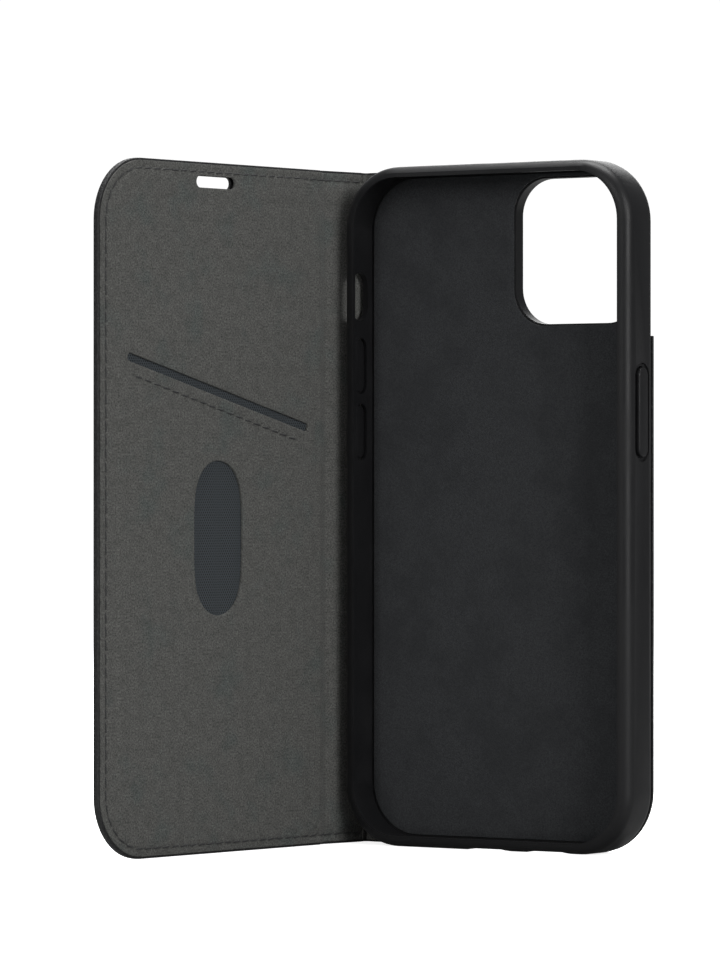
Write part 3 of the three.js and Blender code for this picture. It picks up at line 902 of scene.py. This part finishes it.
@dataclass(frozen=True)
class BookPlan:
    """Where everything lies on the flat book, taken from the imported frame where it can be."""

    cover_width: float = 67.0 * MM  # from the crease at the spine to the cover's free edge
    corner: float = 12.2 * MM
    lining_inset: float = 0.45 * MM
    rim: float = 0.8 * MM
    leather: float = 0.5 * MM
    lining: float = 0.4 * MM
    cover_lining_depth: float = 1.3 * MM
    spine_lining_depth: float = 1.1 * MM
    back_lining_depth: float = 0.6 * MM
    pinched_depth: float = 0.58 * MM
    stitch_inset: float = 1.95 * MM
    seam: float = 1.75 * MM
    spine_board_inset: float = 3.6 * MM
    notch_side: float = 34.85 * MM
    notch_low: float = 100.65 * MM
    notch_radius: float = 8.4 * MM
    notch_gap: float = 0.4 * MM
    notch_end_radius: float = 1.5 * MM
    past: float = 20 * MM
    run_start: float = 2.0 * MM
    run_gap: float = 0.4 * MM

    @property
    def height(self) -> float:
        """The height of the book."""
        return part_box("spine_leather")[1].z

    @property
    def back_width(self) -> float:
        """From the crease at the spine to the back's free edge."""
        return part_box("back_leather")[1].x - FOLD.lines[0].x

    @property
    def front(self) -> Area:
        """The cover, the spine, and the crease between them."""
        return Area(-FOLD.pitch - self.cover_width, -self.seam, 0, self.height)

    @property
    def back(self) -> Area:
        """The back and the crease at the spine."""
        return Area(-self.seam, self.back_width, 0, self.height)

    @property
    def cover_middle(self) -> float:
        """The middle of the cover, on the flat book."""
        return -FOLD.pitch - self.cover_width / 2

    def notch(self, margin: float) -> Area:
        """Returns the corner of the back that is left free for the camera."""
        side, low = self.notch_side - margin, self.notch_low - margin
        return Area(side, self.back_width + self.past, low, self.height + self.past)

    def notch_block(self, margin: float) -> BMesh:
        """Makes the block that cuts that corner out of a sheet."""
        return block(self.notch(margin), self.notch_radius + margin, None, -THROUGH, THROUGH)

    def cover_run(self, inset: float) -> list[Vector]:
        """Returns the stitch line along the free edges of the cover and the ends of the spine."""
        area, corner = self.front.grown(-inset), self.corner - inset
        right = -self.seam - self.run_gap
        return filleted([
            (right, area.high, 0), (area.left, area.high, corner), (area.left, area.low, corner),
            (right, area.low, 0),
        ])

    def back_run(self, inset: float) -> list[Vector]:
        """Returns the stitch line along the free edges of the back, round the camera's corner."""
        area, corner = self.back.grown(-inset), self.corner - inset
        margin, left = self.notch_gap + inset, self.run_start
        notch, turn = self.notch(margin), self.notch_radius + margin
        return filleted([
            (left, area.high, 0), (notch.left, area.high, 0), (notch.left, notch.low, turn),
            (area.right, notch.low, self.notch_end_radius), (area.right, area.low, corner),
            (left, area.low, 0),
        ])


PLAN = BookPlan()


@dataclass(frozen=True)
class CoverOpenings:
    """The earpiece hole, the card slot and the thumb window of the cover."""

    earpiece: tuple[float, float] = (11.4 * MM, 2.3 * MM)
    earpiece_below: float = 3.85 * MM
    slot: tuple[float, float] = (54.8 * MM, 1.6 * MM)
    slot_corner: float = 0.62 * MM
    slot_offset: float = 1.0 * MM
    slot_below: float = 44.6 * MM
    slot_tilt: float = math.radians(14)
    thumb: tuple[float, float] = (14.3 * MM, 30.0 * MM)
    thumb_offset: float = 0.75 * MM
    thumb_below: float = 72.8 * MM
    thumb_sides: int = 72
    stitch_drop: float = 3.15 * MM
    stitch_length: float = 49.5 * MM

    @staticmethod
    def around(middle: Vector, size: tuple[float, float]) -> Area:
        """Returns a rectangle of a size about a middle."""
        width, height = size
        return Area(middle.x - width / 2, middle.x + width / 2, middle.z - height / 2, middle.z + height / 2)

    @property
    def slot_middle(self) -> Vector:
        """The middle of the card slot."""
        return Vector((PLAN.cover_middle + self.slot_offset, 0, PLAN.height - self.slot_below))

    def sloped(self, along: float, above: float) -> Vector:
        """Returns the place of a point beside the card slot, along and above its middle line."""
        cos, sin = math.cos(self.slot_tilt), math.sin(self.slot_tilt)
        return self.slot_middle + Vector((along * cos + above * sin, 0, above * cos - along * sin))

    def earpiece_block(self, margin: float, outer: float, inner: float) -> BMesh:
        """Makes the block that cuts the earpiece hole."""
        middle = Vector((PLAN.cover_middle, 0, PLAN.height - self.earpiece_below))
        area = self.around(middle, self.earpiece).grown(margin)
        return block(area, area.size.z / 2 - WELD / 2, None, outer, inner)

    def slot_block(self, outer: float, inner: float) -> BMesh:
        """Makes the block that cuts the card slot."""
        area = self.around(Vector(), self.slot)
        bm = block(area, self.slot_corner, None, outer, inner)
        place = Matrix.Translation(self.slot_middle) @ Matrix.Rotation(self.slot_tilt, 4, "Y")
        bmesh.ops.transform(bm, matrix=place, verts=bm.verts)
        return bm

    def thumb_block(self, outer: float, inner: float) -> BMesh:
        """Makes the block that cuts the thumb window, a long oval with full ends."""
        middle = Vector((PLAN.cover_middle + self.thumb_offset, 0, PLAN.height - self.thumb_below))
        width, height = self.thumb
        bm = bmesh.new()
        bmesh.ops.create_circle(bm, cap_ends=True, segments=self.thumb_sides, radius=1)
        bmesh.ops.rotate(bm, verts=bm.verts, matrix=Matrix.Rotation(math.pi / 2, 3, "X"))
        for vert in bm.verts:
            vert.co.z = math.copysign(math.sqrt(abs(vert.co.z)), vert.co.z)
        place = Matrix.Translation(middle) @ Matrix.Diagonal((width / 2, 1, height / 2, 1))
        bmesh.ops.transform(bm, matrix=place, verts=bm.verts)
        return thickened(bm, outer, inner)

    def stitch_run(self) -> list[Vector]:
        """Returns the stitch line under the card slot."""
        ends = [self.sloped(side * self.stitch_length / 2, -self.stitch_drop) for side in (-1, 1)]
        return [Vector((end.x, end.z)) for end in ends]


OPENINGS = CoverOpenings()


@dataclass
class StitchRow:
    """One row of lockstitches: sunk beads of thread between needle holes."""

    line: list[Vector]
    pitch: float = 2.6 * MM
    length: float = 2.15 * MM
    width: float = 0.4 * MM
    height: float = 0.34 * MM
    slant: float = math.radians(5)
    hole_depth: float = 0.28 * MM
    hole_width: float = 0.34 * MM
    channel_depth: float = 0.1 * MM
    channel_width: float = 0.55 * MM
    reach: float = 1.0 * MM
    sunk: float = 0.02 * MM
    wobble: float = 0.6

    def __post_init__(self) -> None:
        """Finds the places of the stitches and of the needle holes between them."""
        self.marks = spaced(self.line, self.pitch)
        self.tree = kdtree.KDTree(len(self.marks) + 1)
        first, last = self.marks[0], self.marks[-1]
        holes = [first[0] - first[1] * self.pitch / 2, last[0] + last[1] * self.pitch / 2]
        holes += [(a[0] + b[0]) / 2 for a, b in zip(self.marks, self.marks[1:])]
        for index, hole in enumerate(holes):
            self.tree.insert((hole.x, 0, hole.y), index)
        self.tree.balance()
        dense = spaced(self.line, self.pitch / 6)
        self.course = kdtree.KDTree(len(dense))
        for index, (point, _) in enumerate(dense):
            self.course.insert((point.x, 0, point.y), index)
        self.course.balance()

    def near(self, point: Vector) -> bool:
        """Says whether a point is close enough to the row to be shaped by it."""
        return self.course.find((point.x, 0, point.z))[2] < self.reach

    def pressed(self, x: float, z: float) -> float:
        """Returns how deep the row presses the sheet at a point."""
        line = self.course.find((x, 0, z))[2]
        if line > 3 * self.channel_width:
            return 0.0
        hole = self.tree.find((x, 0, z))[2]
        channel = self.channel_depth * bell(line, self.channel_width)
        return channel + self.hole_depth * bell(hole, self.hole_width)

    def beads(self, surface: Callable[[float, float], float], outward: float) -> BMesh:
        """Makes the thread on one side of a sheet.

        Args:
            surface: Gives the depth of the sheet's surface at a place.
            outward: 1 on the inside of the book, or -1 on its outside.

        Returns:
            The folded mesh of all the stitches.
        """
        bm = bmesh.new()
        for index, (place, along) in enumerate(self.marks):
            wobble = self.wobble * noise.noise(Vector((index * 3.7, outward * 5.1, 0)))
            across = Vector((-along.y, along.x))
            lean = (along + across * math.tan(self.slant) * (1 + wobble)).normalized()
            side = Vector((-lean.y, lean.x))
            depth = surface(place.x, place.y) - outward * self.sunk
            frame_of = Matrix((
                (side.x * self.width / 2, 0, lean.x * self.length / 2, place.x),
                (0, -self.height / 2, 0, -depth),
                (side.y * self.width / 2, 0, lean.y * self.length / 2, place.y),
                (0, 0, 0, 1),
            ))
            bmesh.ops.create_uvsphere(bm, u_segments=8, v_segments=7, radius=1, matrix=frame_of)
        bmesh.ops.recalc_face_normals(bm, faces=bm.faces)
        fold_mesh(bm)
        return bm


@dataclass
class LeatherBook:
    """The book's leather, linings, pocket and stitching.

    The pocket_wave holds places on the cover, each as the distance from its crease and the height in
    millimetres, that the top edge of the pocket's cloth runs through under the lining.
    """

    finishes: Finishes
    cell: float = 1.5 * MM
    lining_cell: float = 1.0 * MM
    hidden_cell: float = 2.0 * MM
    edge_skip: float = 0.1 * MM
    deepest_press: float = 0.3 * MM
    crease_press: float = 0.16 * MM
    crease_width: float = 0.9 * MM
    board_radius: float = 6.5 * MM
    back_lining_short: float = 1.2 * MM
    groove_depth: float = 0.3 * MM
    groove_width: float = 0.8 * MM
    groove_past: float = 0.1 * MM
    board_lift: float = 0.2 * MM
    board_ramp: float = 0.7 * MM
    ridge_lift: float = 0.08 * MM
    ridge_width: float = 0.4 * MM
    pocket_lift: float = 0.16 * MM
    cloth_lift: float = 0.05 * MM
    cloth_waves_per_m: float = 110
    lining_sunk: float = 0.12 * MM
    relief_reach: float = 1.1 * MM
    front_lining_filled: float = 0.94
    back_lining_filled: float = 0.87
    mesh_filled: float = 0.98
    pocket_wave: tuple[tuple[float, float], ...] = (
        (5.0, 104.5), (19.0, 103.4), (28.9, 106.1), (36.3, 106.7), (58.0, 102.5),
    )

    def __post_init__(self) -> None:
        """Lays out the stitch rows and the outline of the board that shows through the lining."""
        crease = -FOLD.pitch
        self.board_line = Area(crease - 61.5 * MM, crease - 1.9 * MM, 1.9 * MM, PLAN.height - 1.95 * MM)
        self.cover_row = StitchRow(PLAN.cover_run(PLAN.stitch_inset))
        self.back_row = StitchRow(PLAN.back_run(PLAN.stitch_inset))
        self.pocket_row = StitchRow(OPENINGS.stitch_run(), pitch=2.75 * MM, channel_depth=0.06 * MM)

    def build(self) -> None:
        """Makes every piece of the book."""
        self.build_front_leather()
        self.build_back_leather()
        self.build_front_lining()
        self.build_back_lining()
        self.build_pocket_mesh()
        self.build_threads()

    def join_across(
        self, piece: bpy.types.Object
    ) -> None:
        """Bakes a piece's placement into its mesh.

        Args:
            piece: The piece, folded to where it stands.
        """
        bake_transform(piece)

    def crease_dip(self, x: float) -> float:
        """Returns how far a place is in the pressed channel of a crease, from 0 to 1."""
        return max(bell(x, self.crease_width), bell(x + FOLD.pitch, self.crease_width))

    def leather_press(self, row: StitchRow) -> Callable[[Vector], float]:
        """Returns the function that says how deep the outer face of the leather is pressed."""

        def press(point: Vector) -> float:
            dip = self.crease_press * self.crease_dip(point.x)
            return min(self.deepest_press, dip + row.pressed(point.x, point.z))

        return press

    def shape_leather(self, bm: BMesh, area: Area, crease: float, row: StitchRow) -> None:
        """Divides a leather sheet into cells and presses its crease and stitches into the outer face."""
        gridded(bm, area, self.cell, (crease,))
        refined(bm, lambda point: point.y > -self.deepest_press and row.near(point), 2)
        press = self.leather_press(row)
        for vert in bm.verts:
            depth = -vert.co.y
            share = smooth(1 - depth / PLAN.leather)
            vert.co.y -= share * press(vert.co)
        flat_uv(bm)

    def build_front_leather(self) -> None:
        """Makes the leather of the cover and the spine, turned up to a rim round the cover's free edges."""
        area = PLAN.front
        deep = 20 * MM
        rim_top = PLAN.cover_lining_depth - 0.05 * MM
        tray = Area(area.left + PLAN.rim, deep, area.low + PLAN.rim, area.high - PLAN.rim)
        spine = Area(-FOLD.pitch - FOLD.reach, deep, area.low - deep, area.high + deep)
        cutters = [
            block(tray, PLAN.corner - PLAN.rim, RoundSide.LEFT, PLAN.leather, deep),
            block(spine, 0.01 * MM, None, PLAN.leather, deep),
            OPENINGS.earpiece_block(0, -deep, deep),
        ]
        bm = cut(block(area, PLAN.corner, RoundSide.LEFT, 0, rim_top), cutters)

        def on_edge(point: Vector) -> bool:
            away = Area(area.left, deep, area.low, area.high).distance(point.x, point.z, PLAN.corner)
            tall = rim_top + point.y < 0.01 * MM or point.y > -0.01 * MM
            return point.x < area.right - self.edge_skip and abs(away) < 0.05 * MM and tall

        rounded(bm, 0.22 * MM, 3, on_edge)
        self.shape_leather(bm, area, -FOLD.pitch, self.cover_row)
        piece = folded_piece(bm, "cover_and_spine_leather")
        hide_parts("cover_leather", "spine_leather")
        self.join_across(piece)
        self.finishes.dress(piece, Slot.LEATHER)

    def build_back_leather(self) -> None:
        """Makes the leather of the back with its crease to the spine."""
        area, notch = PLAN.back, PLAN.notch_block(PLAN.notch_gap)
        bm = cut(block(area, PLAN.corner, RoundSide.RIGHT, 0, PLAN.leather), [notch])
        rounded(bm, 0.15 * MM, 3, lambda point: point.x > area.left + self.edge_skip)
        self.shape_leather(bm, area, 0.0, self.back_row)
        piece = folded_piece(bm, "back_leather_and_crease")
        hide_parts("back_leather")
        self.join_across(piece)
        self.finishes.dress(piece, Slot.LEATHER)

    def lining_seat(self, x: float, z: float) -> float:
        """Returns the depth of the lining's glued side, which is pinched in at the ends of the spine."""
        reach = FOLD.reach
        edge = min(z, PLAN.height - z)
        spine = PLAN.pinched_depth
        rise = PLAN.spine_lining_depth - PLAN.pinched_depth
        spine += rise * smooth(edge / PLAN.spine_board_inset - 0.2)
        cover_share = smooth((-x - FOLD.pitch + reach) / (2.2 * reach))
        back_share = smooth((x + reach) / (2 * reach))
        depth = spine + (PLAN.cover_lining_depth - spine) * cover_share
        depth += (PLAN.back_lining_depth - depth) * back_share
        return depth - self.groove_depth * bell(x + FOLD.pitch - self.groove_past, self.groove_width)

    def lining_lift(self, x: float, z: float) -> float:
        """Returns how far the lining's free side stands proud or is pressed in."""
        inside = -self.board_line.distance(x, z, self.board_radius)
        lift = self.board_lift * smooth(inside / self.board_ramp + 0.5)
        lift += self.ridge_lift * bell(inside, self.ridge_width)
        lift += self.pocket_lift * self.pocket_share((-x - FOLD.pitch) / MM, z / MM)
        lift += self.cloth_lift * noise.noise(Vector((x, 0, z)) * self.cloth_waves_per_m)
        return lift - self.cover_row.pressed(x, z) - self.pocket_row.pressed(x, z) - self.lining_sunk

    def pocket_share(self, across: float, up: float) -> float:
        """Returns how much of the pocket's cloth lies under a place of the lining.

        Args:
            across: The place's distance from the cover's crease, in millimetres.
            up: Its height in millimetres.
        """
        first, last = self.pocket_wave[0][0], self.pocket_wave[-1][0]
        for (u0, z0), (u1, z1) in zip(self.pocket_wave, self.pocket_wave[1:]):
            if u0 <= across < u1:
                level = z0 + (z1 - z0) * smooth((across - u0) / (u1 - u0))
                fade = smooth(min(across - first, last - across) / 4)
                return fade * smooth((level - up) / 0.9 + 0.5) * smooth((up - 86) / 14)
        return 0.0

    def lining_shaped(self, point: Vector) -> Vector:
        """Moves a point of the flat lining, made at no depth, to its seat with its relief."""
        share = -point.y / PLAN.lining
        depth = self.lining_seat(point.x, point.z) - point.y
        return Vector((point.x, -depth - share * self.lining_lift(point.x, point.z), point.z))

    def lining_near(self, point: Vector) -> bool:
        """Says whether a point of the lining is close to a fine relief."""
        if point.y > -PLAN.lining / 2:
            return False
        away = abs(self.board_line.distance(point.x, point.z, self.board_radius))
        return away < self.relief_reach or self.cover_row.near(point) or self.pocket_row.near(point)

    def build_front_lining(self) -> None:
        """Makes the suede of the cover and the spine, with the openings of the cover."""
        inset = PLAN.lining_inset
        area = Area(PLAN.front.left + inset, PLAN.front.right, inset, PLAN.height - inset)
        deep = 3 * MM
        cutters = [
            OPENINGS.earpiece_block(0, -deep, deep),
            OPENINGS.slot_block(-deep, deep),
            OPENINGS.thumb_block(-deep, deep),
        ]
        bm = cut(block(area, PLAN.corner - inset, RoundSide.LEFT, 0, PLAN.lining), cutters)
        rounded(bm, 0.12 * MM, 2, lambda p: p.y < -PLAN.lining / 2 and p.x < area.right - self.edge_skip)
        gridded(bm, area, self.lining_cell, (-FOLD.pitch,))
        refined(bm, self.lining_near, 2)
        flat_uv(bm)
        for vert in bm.verts:
            vert.co = self.lining_shaped(vert.co)
        piece = folded_piece(bm, "cover_and_spine_lining")
        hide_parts("cover_lining", "spine_lining")
        self.join_across(piece)
        self.finishes.dress(piece, Slot.SUEDE)

    def build_back_lining(self) -> None:
        """Makes the suede behind the shell with its crease to the spine."""
        inset = PLAN.lining_inset
        right = PLAN.back.right - self.back_lining_short
        area = Area(PLAN.back.left, right, inset, PLAN.height - inset)
        notch = PLAN.notch_block(PLAN.notch_gap + self.back_lining_short)
        bm = cut(block(area, PLAN.corner - inset, RoundSide.RIGHT, 0, PLAN.lining), [notch])
        gridded(bm, area, self.hidden_cell, (0.0,))
        flat_uv(bm)
        for vert in bm.verts:
            depth = self.lining_seat(vert.co.x, vert.co.z) - vert.co.y
            vert.co.y = -depth
        piece = folded_piece(bm, "back_lining_and_crease")
        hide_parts("back_lining")
        self.join_across(piece)
        self.finishes.dress(piece, Slot.SUEDE)

    def build_pocket_mesh(self) -> None:
        """Makes the knitted mesh that backs the card pocket and shows through the cover's openings."""
        low, high, margin = 1.1 * MM, PLAN.height - 1.1 * MM, 0.5 * MM
        area = Area(PLAN.front.left + low, -FOLD.pitch - 2.4 * MM, low, high)
        hole = OPENINGS.earpiece_block(margin, -THROUGH, THROUGH)
        bm = cut(block(area, PLAN.corner - low, RoundSide.LEFT, 1.05 * MM, 1.2 * MM), [hole])
        gridded(bm, area, self.hidden_cell)
        for vert in bm.verts:
            vert.co.y -= 0.02 * MM * noise.noise(Vector((vert.co.x, 0, vert.co.z)) * 160)
        flat_uv(bm)
        piece = folded_piece(bm, "pocket_mesh_sheet")
        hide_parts("pocket_mesh")
        self.finishes.dress(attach(piece, Body.COVER.value), Slot.MESH_FABRIC)

    def lining_surface(self, x: float, z: float) -> float:
        """Returns the depth of the lining's free side."""
        return self.lining_seat(x, z) + PLAN.lining + self.lining_lift(x, z) + 0.03 * MM

    def leather_surface(self, row: StitchRow) -> Callable[[float, float], float]:
        """Returns the function that gives the depth of the leather's outer face."""
        press = self.leather_press(row)
        return lambda x, z: press(Vector((x, 0, z))) - 0.01 * MM

    def build_threads(self) -> None:
        """Makes the four rows of stitches."""
        inner = as_object(self.cover_row.beads(self.lining_surface, 1), "cover_stitches_inside")
        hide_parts("cover_stitch_inner", "spine_stitch_top", "spine_stitch_bottom")
        self.join_across(inner)
        outside = self.cover_row.beads(self.leather_surface(self.cover_row), -1)
        outer = as_object(outside, "cover_stitches_outside")
        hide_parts("cover_stitch_outer")
        self.join_across(outer)
        back = as_object(self.back_row.beads(self.leather_surface(self.back_row), -1), "back_stitches")
        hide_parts("back_stitch")
        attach(back, Body.CASE.value)
        pocket = as_object(self.pocket_row.beads(self.lining_surface, 1), "pocket_stitches")
        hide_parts("pocket_stitch")
        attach(pocket, Body.COVER.value)
        for piece in (inner, outer, back, pocket):
            self.finishes.dress(finished(piece, math.radians(80)), Slot.THREAD)
    

# ---- Hidden CAD nodes, studio and camera ----


def dress_hidden(finishes: Finishes) -> None:
    """Gives the CAD nodes that stay their own finish."""
    slots = {
        "keeper_lower": Slot.STEEL,
        "keeper_upper": Slot.STEEL,
        "back_adhesive": Slot.BOND,
        "spine_stiffener": Slot.BOARD,
        "cover_board": Slot.BOARD,
        "cover_magnet_lower": Slot.MAGNET,
        "cover_magnet_upper": Slot.MAGNET,
    }
    for node, slot in slots.items():
        finishes.dress(frame["nodes"][node], slot)


@dataclass(frozen=True)
class Studio:
    """A white table and background with soft lights, and the camera."""

    floor_size: float = 12.0
    lens: float = 202.5
    sensor: float = 36.0
    azimuth: float = math.radians(34.474)
    elevation: float = math.radians(-0.068)
    distance: float = 1062.9 * MM
    shift_right: float = -30.224 * MM
    shift_up: float = 5.777 * MM
    aim_height: float = 66.6 * MM
    nearest: float = 0.01
    furthest: float = 50
    light_aim: float = 0.07
    white_seen: float = 1.05
    white_lit: float = 0.22
    sky: Colour = (0.97, 0.985, 1)
    table_low: Colour = (0.9, 0.9, 0.9)
    table_high: Colour = (0.93, 0.93, 0.93)
    table_glow: float = 0.82
    table_lit: Colour = (0.35, 0.35, 0.35)
    lights: tuple[tuple[str, Corner, float, float], ...] = (
        ("key", (1.25, -0.5, 0.5), 0.6, 11.0),
        ("front", (0.0, -1.3, 0.6), 0.6, 3.5),
        ("top", (-0.15, 0.15, 1.2), 0.7, 16.0),
        ("rear", (-0.5, 1.0, 0.6), 0.7, 5.0),
    )

    def build(self) -> None:
        """Makes the floor, the background, the lights and the camera."""
        self.build_floor()
        self.build_world()
        for name, place, size, power in self.lights:
            self.build_light(name, Vector(place), size, power)
        self.build_camera()
        bpy.context.scene.view_settings.view_transform = "Standard"

    def build_floor(self) -> None:
        """Makes the white table top."""
        bm = bmesh.new()
        bmesh.ops.create_grid(bm, x_segments=8, y_segments=8, size=self.floor_size / 2)
        floor = as_object(bm, "table_top")
        g = Graph("white_table")
        grain = g.noise(g.millimetres(), per_mm=0.02, detail=3, rough=0.5)
        colour = g.blend(grain, self.table_low, self.table_high)
        rough = g.between(grain, MOST, (0.75, 0.85))
        floor.data.materials.append(g.surface(colour, rough, g.bump(grain, 0.01 * MM, 0.1)))
        g.shader.inputs["Emission Color"].default_value = (1, 1, 1, 1)
        g.shader.inputs["Emission Strength"].default_value = self.table_glow
        dim = g.nodes.new("ShaderNodeBsdfDiffuse")
        dim.inputs["Color"].default_value = (*self.table_lit, 1)
        self.show_white(g.material.node_tree, g.shader, dim, g.nodes["Material Output"])

    def build_world(self) -> None:
        """Makes a background that is white to look at and dimmer as a light."""
        world = bpy.data.worlds.new("studio")
        bpy.context.scene.world = world
        world.use_nodes = True
        nodes = world.node_tree.nodes
        seen, lit = nodes["Background"], nodes.new("ShaderNodeBackground")
        seen.inputs["Color"].default_value = (1, 1, 1, 1)
        seen.inputs["Strength"].default_value = self.white_seen
        lit.inputs["Color"].default_value = (*self.sky, 1)
        lit.inputs["Strength"].default_value = self.white_lit
        self.show_white(world.node_tree, seen, lit, nodes["World Output"])

    def show_white(
        self, tree: bpy.types.NodeTree, seen: bpy.types.Node, lit: bpy.types.Node, output: bpy.types.Node
    ) -> None:
        """Gives a surface one shader for the camera's rays and another for the rays that light the case."""
        path, mix = tree.nodes.new("ShaderNodeLightPath"), tree.nodes.new("ShaderNodeMixShader")
        tree.links.new(path.outputs["Is Camera Ray"], mix.inputs["Fac"])
        tree.links.new(lit.outputs[0], mix.inputs[1])
        tree.links.new(seen.outputs[0], mix.inputs[2])
        tree.links.new(mix.outputs[0], output.inputs["Surface"])

    def build_light(self, name: str, place: Vector, size: float, power: float) -> None:
        """Makes one soft light that faces the case.

        Args:
            name: The light's name.
            place: Where it stands.
            size: The side of its square face.
            power: Its power in watts.
        """
        lamp = bpy.data.lights.new(name, "AREA")
        lamp.energy, lamp.size, lamp.shape = power, size, "SQUARE"
        holder = bpy.data.objects.new(name, lamp)
        holder.location = place
        holder.rotation_mode = "QUATERNION"
        holder.rotation_quaternion = (Vector((0, 0, self.light_aim)) - place).to_track_quat("-Z", "Y")
        bpy.context.scene.collection.objects.link(holder)

    def build_camera(self) -> None:
        """Places the camera before the open book, turned towards the cover's lining."""
        sin_a, cos_a = math.sin(self.azimuth), math.cos(self.azimuth)
        sin_e, cos_e = math.sin(self.elevation), math.cos(self.elevation)
        back = Vector((sin_a * cos_e, -cos_a * cos_e, sin_e))
        right = Vector((cos_a, sin_a, 0))
        up = back.cross(right)
        low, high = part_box("shell")
        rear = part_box("back_leather")[1].y
        aim = Vector(((low.x + high.x) / 2, rear, self.aim_height))
        data = bpy.data.cameras.new("camera")
        data.lens, data.sensor_width = self.lens, self.sensor
        data.clip_start, data.clip_end = self.nearest, self.furthest
        camera = bpy.data.objects.new("camera", data)
        camera.location = aim + back * self.distance + right * self.shift_right + up * self.shift_up
        camera.rotation_mode = "QUATERNION"
        camera.rotation_quaternion = back.to_track_quat("Z", "Y")
        bpy.context.scene.collection.objects.link(camera)
        bpy.context.scene.camera = camera


def main() -> None:
    """Builds the whole scene in order."""
    logging.basicConfig(level=logging.INFO, format="%(name)s %(message)s")
    Studio().build()
    finishes = Finishes()
    finishes.prepare()
    PhoneShell(finishes).build()
    LeatherBook(finishes).build()
    dress_hidden(finishes)


if __name__ == "__main__":
    main()
